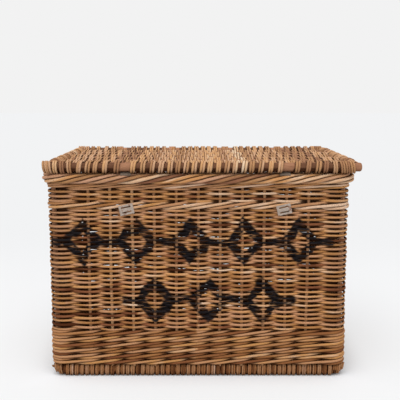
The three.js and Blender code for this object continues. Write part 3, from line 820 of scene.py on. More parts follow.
    def build(self) -> bpy.types.Object:
        """Makes the mesh.

        Returns:
            The object, at the origin.
        """
        made = [self._rings(strand) for strand in self.strands]
        quads, caps, uv = self._faces(made)
        points = np.concatenate([rings["points"].reshape(-1, 3) for rings in made]) * MM
        corners = np.concatenate([quads.ravel()] + caps)
        totals = np.concatenate([np.full(len(quads), 4), np.full(len(caps), self.sides)])
        starts = np.concatenate([[0], np.cumsum(totals)[:-1]])
        mesh = bpy.data.meshes.new(self.name)
        mesh.vertices.add(len(points))
        mesh.vertices.foreach_set("co", points.ravel().astype(np.float32))
        mesh.loops.add(len(corners))
        mesh.loops.foreach_set("vertex_index", corners.astype(np.int32))
        mesh.polygons.add(len(totals))
        mesh.polygons.foreach_set("loop_start", starts.astype(np.int32))
        mesh.polygons.foreach_set("use_smooth", np.ones(len(totals), bool))
        mesh.uv_layers.new(name="OFBake")
        for name in ("fibre", "tone"):
            values = np.concatenate([rings[name].reshape(-1, 3) for rings in made])
            given = mesh.attributes.new(name, "FLOAT_VECTOR", "POINT")
            given.data.foreach_set("vector", values.ravel().astype(np.float32))
        mesh.update(calc_edges=True)
        mesh.uv_layers["OFBake"].data.foreach_set("uv", uv.ravel().astype(np.float32))
        mesh.validate()
        return added(self.name, mesh)


def wavy(places: np.ndarray, wave: float, chance: Generator) -> np.ndarray:
    """Returns smooth random waves of about -1 to 1, as the sum of four ever shorter ones.

    Args:
        places: Where the waves are read.
        wave: The longest wave's length.
        chance: The source of random numbers.

    Returns:
        One value a place.
    """
    total = np.zeros(len(places))
    for i in range(4):
        length = wave / (1 + 0.83 * i)
        total += np.sin(places / length * TAU + chance.uniform(0, TAU)) / (1 + 0.5 * i)
    return total / 1.8


def spliced(
    places: np.ndarray, lengths: tuple[float, float], chance: Generator, spread: float
) -> np.ndarray:
    """Returns a tone for each place that changes where one strand ends and the next begins.

    Args:
        places: Rising places along the strand.
        lengths: The shortest and longest strand.
        chance: The source of random numbers.
        spread: How much of the range of tones is used.

    Returns:
        One tone a place.
    """
    tones = np.empty(len(places))
    reach, tone = places[0], 0.5
    for i, place in enumerate(places):
        if i == 0 or place >= reach:
            reach = place + chance.uniform(*lengths)
            tone = 0.56 + spread * (chance.beta(2.3, 2.0) - 0.5)
        tones[i] = tone
    return tones


@dataclass(frozen=True)
class WallLine:
    """The walls' middle line: a rounded rectangle, from the middle of the front and to the right.

    Attributes:
        half_x: Half its width.
        half_y: Half its depth.
        radius: Radius of its corners.
        stake_pitch: Distance from one stake to the next.
        front_stakes: How many stakes the front and the back have to each side of the middle one.
        end_stakes: How many the ends have so.
    """

    half_x: float = 423.0
    half_y: float = 269.0
    radius: float = 33.0
    stake_pitch: float = 63.0
    front_stakes: int = 5
    end_stakes: int = 3

    @property
    def flat_x(self) -> float:
        """Half the straight part of the front."""
        return self.half_x - self.radius

    @property
    def flat_y(self) -> float:
        """Half the straight part of an end."""
        return self.half_y - self.radius

    @property
    def bend(self) -> float:
        """Length of a corner."""
        return self.radius * math.pi / 2

    @property
    def length(self) -> float:
        """Length all round."""
        return 4 * (self.flat_x + self.flat_y + self.bend)

    def at(self, s: np.ndarray) -> tuple[np.ndarray, np.ndarray]:
        """Returns places on the line.

        Args:
            s: Distances along it.

        Returns:
            The points and the outward directions, both flat.
        """
        s = np.mod(s, self.length)
        a, b, q = self.flat_x, self.flat_y, self.bend
        runs = [a, q, 2 * b, q, 2 * a, q, 2 * b, q, a]
        ends = np.cumsum(runs)
        part = np.minimum(np.searchsorted(ends, s, side="right"), 8)
        into = s - (ends - runs)[part]
        quarter = (part // 2) * (math.pi / 2) - math.pi / 2
        bent = part % 2 == 1
        angle = np.where(bent, quarter + into / self.radius, quarter)
        outward = np.stack([np.cos(angle), np.sin(angle)], -1)
        along = np.stack([-np.sin(quarter), np.cos(quarter)], -1)
        facing = np.stack([np.cos(quarter), np.sin(quarter)], -1)
        is_end = (part // 2) % 2 == 1
        reach = np.where(is_end, self.half_x, self.half_y)
        half_run = np.where(is_end, b, a)
        from_middle = np.where(part == 0, into, into - half_run)
        straight = facing * reach[:, None] + along * from_middle[:, None]
        middle = facing * (reach - self.radius)[:, None] + along * half_run[:, None]
        round_part = middle + outward * self.radius
        return np.where(bent[:, None], round_part, straight), outward

    def uprights(self) -> tuple[np.ndarray, np.ndarray]:
        """Returns the distances of the stakes and corner posts, and which of them are posts."""
        a, b, q = self.flat_x, self.flat_y, self.bend
        row = np.arange(-self.front_stakes, self.front_stakes + 1) * self.stake_pitch
        end = np.arange(-self.end_stakes, self.end_stakes + 1) * self.stake_pitch
        half = a + q + 2 * b + q
        corners = [a + q / 2, half - q / 2, half + 2 * a + q / 2, self.length - a - q / 2]
        stakes = np.concatenate(
            [
                row[row >= 0],
                a + q + b + end,
                half + a + row,
                half + 2 * a + q + b + end,
                self.length + row[row < 0],
            ]
        )
        places = np.concatenate([stakes, corners])
        posts = np.concatenate([np.zeros(len(stakes), bool), np.ones(4, bool)])
        order = np.argsort(places)
        return places[order], posts[order]


LINE = WallLine()
MIDDLE_TONE = 0.54
STAKE_RADIUS = 4.5
POST_RADIUS = 7.0


@dataclass
class Weaving:
    """Strands woven round the uprights of the walls, in steps from one upright to the next.

    Attributes:
        samples: How many points a strand has a step.
        far_side: How much a strand's far side is hidden, and darkened with painted shade, where it
        lies outermost, from 0 to 1.
    """

    samples: int = 8
    far_side: float = 0.35

    def ride(self, offsets: np.ndarray, turns: int) -> tuple[np.ndarray, np.ndarray, np.ndarray]:
        """Carries a strand round the walls.

        Args:
            offsets: The strand's outward offset at each upright, over all turns.
            turns: How many times it goes round.

        Returns:
            Distances along the middle line, the upright count at each point and the offsets.
        """
        uprights, _ = LINE.uprights()
        count = len(uprights)
        steps = np.arange(count * turns)
        starts = uprights[steps % count] + steps // count * LINE.length
        ends = uprights[(steps + 1) % count] + (steps + 1) // count * LINE.length
        share = np.arange(self.samples) / self.samples
        s = (starts[:, None] + (ends - starts)[:, None] * share).ravel()
        here, there = offsets, np.roll(offsets, -1)
        offset = (here[:, None] + (there - here)[:, None] * eased(share)).ravel()
        return s, (steps[:, None] + share).ravel(), offset

    @staticmethod
    def strayed(steps: np.ndarray, most: float, chance: Generator) -> np.ndarray:
        """Returns how far above or below its level a strand lies, by chance at each upright.

        Args:
            steps: The upright count at each point.
            most: How far it strays.
            chance: The source of random numbers.

        Returns:
            One height a point.
        """
        loops = chance.uniform(-most, most, math.ceil(steps[-1]))
        return np.interp(steps, np.arange(len(loops) + 1), np.append(loops, loops[0]))

    @staticmethod
    def swollen(turn: np.ndarray, most: float, chance: Generator) -> np.ndarray:
        """Returns the share of its thickness that a strand has on its way round the walls.

        Args:
            turn: The angle round the walls at each point.
            most: How far the share strays from 1.
            chance: The source of random numbers.

        Returns:
            One share a point.
        """
        return 1 + most * np.sin(turn * chance.integers(5, 12) + chance.uniform(0, 6))

    def strand(
        self, s: np.ndarray, offset: np.ndarray, z: np.ndarray, reach: float, **looks: object
    ) -> Strand:
        """Makes a closed strand on the walls.

        Args:
            s: Distances along the middle line.
            offset: Outward offsets.
            z: Heights.
            reach: The greatest offset, for the painted shade.
            looks: Other fields of the strand.

        Returns:
            The strand.
        """
        points, outward = LINE.at(s)
        path = np.column_stack([points + outward * offset[:, None], z])
        side = np.column_stack([outward, np.zeros(len(s))])
        openness = np.clip(offset / reach * 1.15, -1, 1)
        openness = np.where(openness > 0, self.far_side * openness, openness)
        return Strand(path, side=side, air=side * off_zero(openness)[:, None], closed=True, **looks)


@dataclass
class Randing:
    """A plain woven band: each weaver goes outside one upright and inside the next.

    Attributes:
        node: The CAD node it stands for.
        bottom: Its lower level.
        top: Its upper level.
        rows: How many weavers lie on each other.
        pieces: How many meshes it is split into.
        radius: A weaver's radius.
        tone: How much paler than usual it is.
        thickness: The least and the greatest share of the radius that a weaver has.
        grip: The least and the greatest share of its offset that a weaver has at an upright.
        sags: Height and number of the waves that all rows follow round the walls.
        stray: How far a weaver lies above or below its row at an upright.
        swell: How much a weaver's thickness changes on its way.
        lengths: The shortest and the longest weaver.
        contrast: How much of the range of tones the weavers use.
        upright: How much higher than wide a weaver's section is where it crosses the wall.
        pressed: How much of that it loses outside an upright, and gains inside one.
        crowded: How much higher it is at a corner post.
        post_grime: Painted shade at the corner posts, as a share of that.
        first: The random seed.
    """

    node: str
    bottom: float
    top: float
    rows: int
    pieces: int
    radius: float = 3.45
    tone: float = 0.0
    thickness: tuple[float, float] = (0.82, 1.1)
    grip: tuple[float, float] = (0.93, 1.04)
    sags: tuple[tuple[float, int], ...] = ((1.3, 3), (0.8, 7))
    stray: float = 1.1
    swell: float = 0.09
    lengths: tuple[float, float] = (190.0, 900.0)
    contrast: float = 1.05
    upright: float = 1.24
    pressed: float = 0.22
    crowded: float = 0.3
    post_grime: float = 0.9
    first: int = 1

    def build(self) -> None:
        """Makes the band."""
        chance = default_rng(self.first)
        _, posts = LINE.uprights()
        pitch = (self.top - self.bottom) / self.rows
        sag = default_rng(self.first + 50)
        starts = [sag.uniform(0, TAU) for _ in self.sags]
        weaving = Weaving(samples=8)
        depth = STAKE_RADIUS + self.radius
        _, _, corner = weaving.ride(posts * self.crowded, 1)
        for part, rows in enumerate(np.array_split(np.arange(self.rows), self.pieces)):
            bundle = Bundle(f"woven_{self.node}" + (f"_{part + 1}" if self.pieces > 1 else ""))
            for row in rows:
                radius = self.radius * chance.uniform(*self.thickness)
                reach = np.where(posts, POST_RADIUS, STAKE_RADIUS) + radius
                sign = np.where((np.arange(len(posts)) + row) % 2 == 0, 1.0, -1.0)
                grip = chance.uniform(*self.grip, len(posts))
                s, steps, offset = weaving.ride(sign * reach * grip, 1)
                turn = s / LINE.length * TAU
                waves = zip(self.sags, starts)
                sway = sum(high * np.sin(turn * count + begin) for (high, count), begin in waves)
                z = self.bottom + (row + 0.5) * pitch + sway * self._free(row)
                z = z + weaving.strayed(steps, self.stray, chance)
                width = weaving.swollen(turn, self.swell, chance)
                tone = self.tone + spliced(s, self.lengths, chance, self.contrast)
                tone = tone + 0.12 * wavy(s, 340, chance)
                looks = {
                    "radius": radius * width,
                    "flat": self.upright + corner - self.pressed * np.clip(offset / depth, -1, 1),
                    "tone": tone,
                    "seed": chance.uniform(0, 1),
                    # Painted shade at the corner posts.
                    "painted_shade": self.post_grime * corner,
                }
                bundle.add(weaving.strand(s, offset, z, depth, **looks))
            settle(bundle.build(), Body.BASKET, Slot.WICKER, RANDING_CANE, self.node)

    def _free(self, row: int) -> float:
        """Returns how freely a row may sway, which is not at all next to the band's neighbours."""
        return min(row, self.rows - 1 - row, 4) / 4


@dataclass
class Wale:
    """A waled band: rods that go outside two uprights and inside one, and rise as they go.

    Attributes:
        node: The CAD node it stands for.
        bottom: Its lower level.
        top: Its upper level.
        rounds: How many rounds lie on each other, each of three rods.
        across: A rod's radius outwards.
        height: The most that its radius upwards may be.
        fullness: That radius as a share of a round's height.
        rise: A rod's level over three uprights, as places and shares of a round's height.
        stray: How far a rod lies above or below its level at an upright.
        swell: How much a rod's thickness changes on its way.
        crossing_shade: Painted shade where a rod crosses the wall.
        tone: The middle tone of its rods.
        contrast: How much of the range of tones they use.
        painted_shade: Painted shade on the whole band.
        sag: Height of the five waves that a round makes on its way.
        squeezed: How much higher a rod is where it lies inside the wall.
        first: The random seed.
    """

    node: str
    bottom: float
    top: float
    rounds: int
    across: float = 3.6
    height: float = 4.4
    fullness: float = 0.27
    rise: tuple[tuple[float, ...], tuple[float, ...]] = (
        (0.0, 0.5, 0.95, 2.05, 2.5, 3.0),
        (0.0, -0.47, -0.27, 0.27, 0.47, 0.0),
    )
    stray: float = 0.5
    swell: float = 0.05
    crossing_shade: float = 0.54
    tone: float = MIDDLE_TONE
    contrast: float = 0.85
    painted_shade: float = 0.06
    sag: float = 0.6
    squeezed: float = 0.6
    first: int = 2

    def build(self) -> None:
        """Makes the band."""
        chance = default_rng(self.first)
        _, posts = LINE.uprights()
        count = len(posts)
        pitch = (self.top - self.bottom) / self.rounds
        weaving = Weaving(samples=7)
        bundle = Bundle(f"woven_{self.node}", sides=7)
        reach = np.tile(np.where(posts, POST_RADIUS, STAKE_RADIUS), 3) + self.across
        for turn in range(self.rounds):
            phase = (np.arange(3 * count) + turn) % 3
            offsets = np.where(phase == 0, -reach, reach) * chance.uniform(0.95, 1.05, 3 * count)
            s, steps, offset = weaving.ride(offsets, 3)
            lift = np.interp(np.mod(steps + turn, 3), *self.rise)
            z = self.bottom + (turn + 0.5) * pitch + lift * pitch
            ring = s / LINE.length * TAU
            z = z + self.sag * np.sin(ring * 5 + turn)
            z = z + weaving.strayed(steps, self.stray, chance)
            width = weaving.swollen(ring, self.swell, chance)
            half = min(self.height, pitch * self.fullness)
            depth = offset / reach.max()
            looks = {
                "radius": self.across * width,
                "flat": half / self.across * (1 + self.squeezed * np.clip(-depth, 0, 1)),
                "tone": self.tone - MIDDLE_TONE + self._tones(steps + turn, chance),
                "seed": chance.uniform(0, 1),
                # Painted shade, deepest where a rod crosses the wall.
                "painted_shade": self.painted_shade + self.crossing_shade * (1 - abs(depth)),
            }
            bundle.add(weaving.strand(s, offset, z, STAKE_RADIUS + self.across, **looks))
        settle(bundle.build(), Body.BASKET, Slot.WALE, WALE_CANE, self.node)

    def _tones(self, steps: np.ndarray, chance: Generator) -> np.ndarray:
        """Returns tones that change only where a rod lies inside the wall."""
        strokes = np.floor(steps / 3).astype(int)
        tones = np.empty(strokes.max() + 1)
        tone, left = 0.5, 0
        for i in range(len(tones)):
            if left == 0:
                left = chance.integers(1, 5)
                tone = MIDDLE_TONE + self.contrast * (chance.beta(2.0, 2.0) - 0.5)
            tones[i] = tone
            left -= 1
        return tones[strokes]


@dataclass
class Uprights:
    """The stakes and corner posts that the walls are woven round.

    Attributes:
        bottom: Level of the stakes' lower ends.
        top: Level of their upper ends.
        post_bottom: Level of the posts' lower ends.
        post_top: Level of their upper ends.
        points: How many points a stake or post has along its length.
        lean: How far the stakes stray to the side.
        first: The random seed.
    """

    bottom: float = 30.0
    top: float = 578.0
    post_bottom: float = 37.3
    post_top: float = 572.9
    points: int = 24
    lean: float = 0.8
    first: int = 3

    def build(self) -> None:
        """Makes the stakes and the posts."""
        chance = default_rng(self.first)
        places, posts = LINE.uprights()
        points, _ = LINE.at(places)
        stakes = Bundle("stakes", sides=8)
        names = ["front_right", "back_right", "back_left", "front_left"]
        for point, is_post in zip(points, posts):
            low, high = (self.post_bottom, self.post_top) if is_post else (self.bottom, self.top)
            z = np.linspace(low, high, self.points)
            path = np.column_stack([np.tile(point, (self.points, 1)), z])
            lean = 0 if is_post else self.lean
            path[:, 0] += lean * wavy(z, 420, chance)
            strand = Strand(
                path,
                radius=POST_RADIUS if is_post else STAKE_RADIUS,
                side=RIGHT,
                tone=chance.uniform(0.2, 0.9),
                seed=chance.uniform(0, 1),
            )
            if is_post:
                name = names.pop(0)
                bundle = Bundle(f"round_corner_post_{name}", sides=12)
                bundle.add(strand)
                settle(bundle.build(), Body.BASKET, Slot.POLE, POLE_CANE, f"corner_post_{name}")
            else:
                stakes.add(strand)
        settle(stakes.build(), Body.BASKET, Slot.POLE, STAKE_CANE)


@dataclass
class RimBorder:
    """The border on the walls: thick rods wound round each other.

    Attributes:
        middle: Level of its middle.
        offset: How far its middle lies outside the walls' middle line.
        half_width: How far a rod's middle strays outwards and inwards.
        half_height: How far it strays upwards and downwards.
        rods: How many rods there are.
        rod_radius: A rod's radius.
        turns: How many times a rod winds round on its way.
        samples: How many pieces a rod has along its length.
        corner: How much further the rods stray at the four corners of their winding.
        core: Radius of the strand that fills the middle.
        first: The random seed.
    """

    middle: float = 587.7
    offset: float = 8.0
    half_width: float = 13.0
    half_height: float = 9.3
    rods: int = 6
    rod_radius: float = 5.3
    turns: float = 58 / 6
    samples: int = 560
    corner: float = 0.16
    core: float = 6.5
    first: int = 4

    def build(self) -> None:
        """Makes the border."""
        chance = default_rng(self.first)
        bundle = Bundle("plaited_rim", sides=8)
        s = np.linspace(0, LINE.length, self.samples + 1) + 2 * LINE.flat_x + LINE.flat_y * 2
        points, outward = LINE.at(s)
        for rod in range(self.rods):
            ring = (s - s[0]) / LINE.length
            phase = TAU * (rod / self.rods + self.turns * ring)
            swell = 1 + 0.05 * np.sin(ring * TAU * chance.integers(6, 15))
            fullness = 1 + self.corner * np.sin(2 * phase) ** 2
            out = self.offset + self.half_width * fullness * np.cos(phase)
            z = self.middle + self.half_height * fullness * np.sin(phase)
            path = np.column_stack([points + outward * out[:, None], z])
            side = np.column_stack([outward * np.cos(phase)[:, None], np.sin(phase)])
            bundle.add(
                Strand(
                    path,
                    radius=self.rod_radius * swell * chance.uniform(0.94, 1.03),
                    side=side,
                    air=side,
                    painted_shade=0.1,
                    tone=self._tones(phase, chance),
                    seed=chance.uniform(0, 1),
                )
            )
        # The core lies hidden between the rods and is darkened with painted shade.
        core = np.column_stack([points + outward * self.offset, np.full(len(s), self.middle)])
        bundle.add(Strand(core, radius=self.core, side=UP, flat=1.6, tone=0.1, seed=0.5, painted_shade=0.9))
        settle(bundle.build(), Body.BASKET, Slot.CANE, RIM_CANE, "rim_border")

    @staticmethod
    def _tones(phase: np.ndarray, chance: Generator) -> np.ndarray:
        """Returns tones that change from one turn of a rod to the next, on the inside."""
        turn = np.floor(phase / TAU + 0.5).astype(int)
        return (0.6 + 1.1 * (chance.beta(2.0, 2.0, turn.max() + 1) - 0.5))[turn]


@dataclass
class Pole:
    """A round pole of a panel, with its ends rounded.

    Attributes:
        node: The CAD node it stands for.
        start: One end.
        end: The other end.
        radius: Its radius.
        chamfer: How far its ends are rounded.
        body: The body it moves with.
        seed: The random seed.
        uncovered: The stretches that no strand covers, as distances from its start.
        lift: How much of the rounding of its ends comes off below, from 0 for half to 1 for all.
        rounding: Places on the rounding of an end, as shares of chamfer, with the radii there.
        covered: Painted shade where strands cover it.
        points: How many points it has between its ends.
    """

    node: str
    start: Triple
    end: Triple
    radius: float
    chamfer: float
    body: Body
    seed: int = 5
    uncovered: tuple[tuple[float, float], ...] = ((0.0, math.inf),)
    lift: float = 0.0
    rounding: tuple[tuple[float, float], ...] = ((0.0, 0.62), (0.25, 0.84), (0.6, 0.95))
    covered: float = 0.56
    points: int = 150

    def build(self) -> None:
        """Makes the pole."""
        chance = default_rng(self.seed)
        start, end = np.array(self.start), np.array(self.end)
        length = np.linalg.norm(end - start)
        middle = np.linspace(self.chamfer, length - self.chamfer, self.points)
        shares, fall = np.array(self.rounding).T
        rounding = shares * self.chamfer
        fall = fall ** (1 + 2.5 * self.lift)
        places = np.concatenate([rounding, middle, length - rounding[::-1]])
        swell = 1 + 0.015 * wavy(middle, 300, chance)
        radius = self.radius * np.concatenate([fall, swell, fall[::-1]])
        path = start + (end - start) * (places / length)[:, None]
        path[:, 2] += self.lift * np.maximum(self.radius * 0.98 - radius, 0)
        bundle = Bundle(f"round_{self.node}", sides=16, under=0.6)
        is_uncovered = np.any([(places > low) & (places < high) for low, high in self.uncovered], axis=0)
        bundle.add(
            Strand(
                path,
                radius=radius,
                side=UP,
                tone=chance.uniform(0.25, 0.75),
                seed=chance.uniform(0, 1),
                # Painted shade where strands cover the pole.
                painted_shade=np.where(is_uncovered, 0.0, self.covered),
            )
        )
        settle(bundle.build(), self.body, Slot.POLE, POLE_CANE, self.node)


TUCKED_HEIGHT = 3.0
RUN_SAMPLES = 7
BEND_SAMPLES = 7


@dataclass
class Panel:
    """A woven panel on four poles: the lid or the base.

    Attributes:
        name: The word its CAD nodes start with.
        body: The body it moves with.
        centre: Its middle.
        width: Its size from left to right.
        depth: Its size from front to back.
        loop_places: Where paired strands go round the poles, from its middle.
        tucked_places: Further places of pairs that end short of the poles.
        bare: Places and half widths where the front and the back pole stay bare.
        tuck: How far from the middle of the front and of the back pole its short pairs stop.
        finish: The finish of its strands.
        radius: A strand's radius across the weave.
        flat: A strand's other radius as a share of that.
        lane: How far the upper and the lower run of a pair lie to each side of its place.
        twin: How far the two strands of a pair lie to each side of its middle.
        pole_lean: The share of lane that is left at the poles.
        crowding: How far the pairs next to a bare stretch of the front move into it.
        crowd_reach: How far from the bare stretch pairs still move.
        wander: How far the pairs' spacing strays from an even one.
        squareness: The power of the superellipse that pairs follow round a pole, 2 for a circle.
        chamfer: How far the ends of the front and back poles are rounded.
        pole_radius: Radius of the poles.
        strand_size: How far the strands stand out round the front and back poles.
        stick_radius: Radius of the sticks.
        stick_count: How many sticks there are.
        stick_end: How far the sticks' ends reach into the side poles.
        pole_inset: How far the front and back poles end inside the panel's width.
        pole_end: Length of the stretch at those poles' ends that no strand covers.
        contrast: How much of the range of tones the pairs use.
        first: The random seed.
    """

    name: str
    body: Body
    centre: Triple
    width: float
    depth: float
    loop_places: np.ndarray
    tucked_places: np.ndarray
    bare: dict[End, list[tuple[float, float]]]
    tuck: dict[End, float]
    finish: CaneFinish
    radius: float = 3.95
    flat: float = 0.77
    lane: float = 5.75
    twin: float = 3.75
    pole_lean: float = 0.55
    crowding: float = 12.5
    crowd_reach: float = 60.0
    wander: float = 2.4
    squareness: float = 2.0
    chamfer: float = 5.0
    pole_radius: float = 12.5
    strand_size: float = 6.0
    stick_radius: float = 6.0
    stick_count: int = 5
    stick_end: float = 8.7
    pole_inset: float = 3.0
    pole_end: float = 22.0
    contrast: float = 0.75
    first: int = 6

    @property
    def pole_x(self) -> float:
        """Distance of the side poles from the middle."""
        return self.width / 2 - self.pole_radius - self.strand_size

    @property
    def pole_y(self) -> float:
        """Distance of the front and back poles from the middle."""
        return self.depth / 2 - self.pole_radius - self.strand_size

    def sticks(self) -> np.ndarray:
        """Returns the sticks' places from front to back."""
        pitch = 2 * self.pole_y / (self.stick_count + 1)
        return (np.arange(self.stick_count) - (self.stick_count - 1) / 2) * pitch

    def _run(self, is_upper: bool, front: float, back: float) -> np.ndarray:
        """Works out one run of a strand over and under the sticks.

        Args:
            is_upper: Whether it goes over the poles.
            front: Where it starts, from the middle.
            back: Where it ends.

        Returns:
            Its points as y and z, from front to back.
        """
        rise = self.pole_radius + self.radius * self.flat
        bob = self.stick_radius + self.radius * self.flat
        sign = 1 if is_upper else -1
        supports = np.concatenate([[-self.pole_y], self.sticks(), [self.pole_y]])
        heights = np.array([sign * bob * (-1) ** (i + 1) for i in range(self.stick_count)])
        heights = np.concatenate([[sign * rise], heights, [sign * rise]])
        if front > -self.pole_y:
            supports[0], heights[0] = front, sign * TUCKED_HEIGHT
        if back < self.pole_y:
            supports[-1], heights[-1] = back, sign * TUCKED_HEIGHT
        share = np.arange(RUN_SAMPLES) / RUN_SAMPLES
        y = supports[:-1, None] + np.diff(supports)[:, None] * share
        z = heights[:-1, None] + np.diff(heights)[:, None] * eased(share)
        last = [[supports[-1], heights[-1]]]
        return np.concatenate([np.column_stack([y.ravel(), z.ravel()]), last])

    def _lanes(self, run: np.ndarray) -> np.ndarray:
        """Returns how far each point of a run lies in its lane, which is less near the poles."""
        last_stick = self.sticks()[-1]
        return np.interp(np.abs(run[:, 0]), [last_stick, self.pole_y], [1.0, self.pole_lean])

    def _bend(self, side: End) -> np.ndarray:
        """Returns the half circle round a pole from above to below, as y and z."""
        rise = self.pole_radius + self.radius * self.flat
        turn = np.linspace(math.pi / 2, -math.pi / 2, BEND_SAMPLES + 2)[1:-1]
        power = self.squareness
        rise = rise * (np.cos(turn) ** power + abs(np.sin(turn)) ** power) ** (-1 / power)
        return np.column_stack([side * (self.pole_y + rise * np.cos(turn)), rise * np.sin(turn)])

    def _is_bare(self, side: End, place: float) -> bool:
        """Tells whether a pair at that place stays off the pole at that side."""
        return any(abs(place - x) < room for x, room in self.bare.get(side, []))

    def _crowd(self, place: float) -> float:
        """Returns how far a pair moves towards the nearest bare stretch of the front."""
        shift = 0.0
        for x, room in self.bare.get(End.FRONT, []):
            gap = abs(place - x) - room
            if 0 <= gap < self.crowd_reach:
                shift += math.copysign(self.crowding * (1 - gap / self.crowd_reach), x - place)
        return shift

    def _runs(self, bare: dict[End, bool]) -> list[tuple[np.ndarray, np.ndarray]]:
        """Works out the pieces of a strand of a pair, each from one end of it to the other.

        Args:
            bare: At which poles the pair ends short.

        Returns:
            For each piece its points as y and z, and how far each lies in its lane. A strand that
            goes round both poles is one closed piece.
        """
        reach = {end: self.pole_y - self.tuck[end] if bare[end] else self.pole_y for end in End}
        upper = self._run(True, -reach[End.FRONT], reach[End.BACK])
        lower = self._run(False, -reach[End.FRONT], reach[End.BACK])[::-1]
        across = np.linspace(1, -1, BEND_SAMPLES + 2)[1:-1] * self.pole_lean
        over, under = (upper, self._lanes(upper)), (lower, -self._lanes(lower))
        behind = [] if bare[End.BACK] else [(self._bend(End.BACK), across)]
        before = [] if bare[End.FRONT] else [(self._bend(End.FRONT)[::-1], -across)]
        if bare[End.BACK] and bare[End.FRONT]:
            runs = [[over], [under]]
        elif bare[End.BACK]:
            runs = [[under, *before, over]]
        else:
            runs = [[over, *behind, under, *before]]
        return [tuple(np.concatenate(parts) for parts in zip(*run)) for run in runs]

    def _air(self, flat: np.ndarray) -> tuple[np.ndarray, np.ndarray]:
        """Works out which way the open air lies along a run, and the painted shade below the poles.

        Args:
            flat: The run's points as y and z.

        Returns:
            One vector and one number a point.
        """
        y, z = flat.T
        level = np.zeros(len(y))
        open_side = np.clip(z / (self.stick_radius + self.radius), -1, 1)
        air = np.column_stack([level, level, off_zero(open_side)])
        beyond = np.abs(y) > self.pole_y - 4
        around = unit(np.column_stack([level, y - np.sign(y) * self.pole_y, z]))
        # Painted shade on the underside of the bends round the poles.
        below = np.where(beyond, 0.4 * np.clip(-around[:, 2], 0, 1), 0.0)
        return np.where(beyond[:, None], around, air), below

    def _pair(
        self,
        bundle: Bundle,
        place: float,
        shift: float,
        ends_short: bool,
        chance: Generator,
    ) -> None:
        """Adds the two strands of a pair.

        Args:
            bundle: Where they go.
            place: The pair's place from the middle.
            shift: How far it has strayed from there.
            ends_short: Whether it stays off both poles.
            chance: The source of random numbers.
        """
        bare = {end: ends_short or self._is_bare(end, place) for end in End}
        base_tone = 0.56 + self.contrast * (chance.beta(2.0, 2.0) - 0.5)
        crowd = self._crowd(place)
        lean = chance.uniform(0.75, 1.25)
        spread = self.twin * chance.uniform(0.86, 1.1)
        for twin in Side:
            for flat, lanes in self._runs(bare):
                x = place + shift + lanes * self.lane * lean + twin * spread
                x = x + crowd * np.interp(flat[:, 0], [-self.pole_y, 0], [1, 0])
                x = x + 0.35 * wavy(flat[:, 0], 260, chance)
                air, below = self._air(flat)
                bundle.add(
                    Strand(
                        np.column_stack([x, flat]) + np.array(self.centre),
                        radius=self.radius * chance.uniform(0.86, 1.05),
                        side=RIGHT,
                        flat=self.flat,
                        tone=base_tone + chance.uniform(-0.2, 0.2),
                        seed=chance.uniform(0, 1),
                        air=air,
                        painted_shade=below,
                        closed=not any(bare.values()),
                    )
                )

    def build(self) -> None:
        """Makes the strands, sticks and poles."""
        chance = default_rng(self.first)
        places = np.sort(np.concatenate([self.loop_places, self.tucked_places]))
        waves = 0.8 * wavy(places, 210, chance)
        shifts = self.wander * (waves + chance.uniform(-0.6, 0.6, len(places)))
        tucked = set(np.round(self.tucked_places, 3))
        for i, group in enumerate(np.array_split(np.arange(len(places)), 3)):
            bundle = Bundle(f"woven_{self.name}_{i + 1}")
            for j in group:
                self._pair(bundle, places[j], shifts[j], round(places[j], 3) in tucked, chance)
            settle(bundle.build(), self.body, Slot.WICKER, self.finish, f"{self.name}_weave")
        x, y, z = self.centre
        end = self.pole_x - self.pole_radius + self.stick_end
        for i, place in enumerate(self.sticks()):
            Pole(
                f"{self.name}_stick_{i + 1}",
                (x - end, y + place, z),
                (x + end, y + place, z),
                self.stick_radius,
                1.0,
                self.body,
                20 + i,
            ).build()
        half = self.width / 2 - self.pole_inset
        for side in End:
            bare = self.bare.get(side, [])
            uncovered = [(half + place - room, half + place + room) for place, room in bare]
            uncovered += [(0.0, self.pole_end), (2 * half - self.pole_end, 2 * half)]
            Pole(
                f"{self.name}_{word(side)}_pole",
                (x - half, y + side * self.pole_y, z),
                (x + half, y + side * self.pole_y, z),
                self.pole_radius,
                self.chamfer,
                self.body,
                30 + side,
                tuple(uncovered),
                lift=float(self.chamfer > 10),
            ).build()


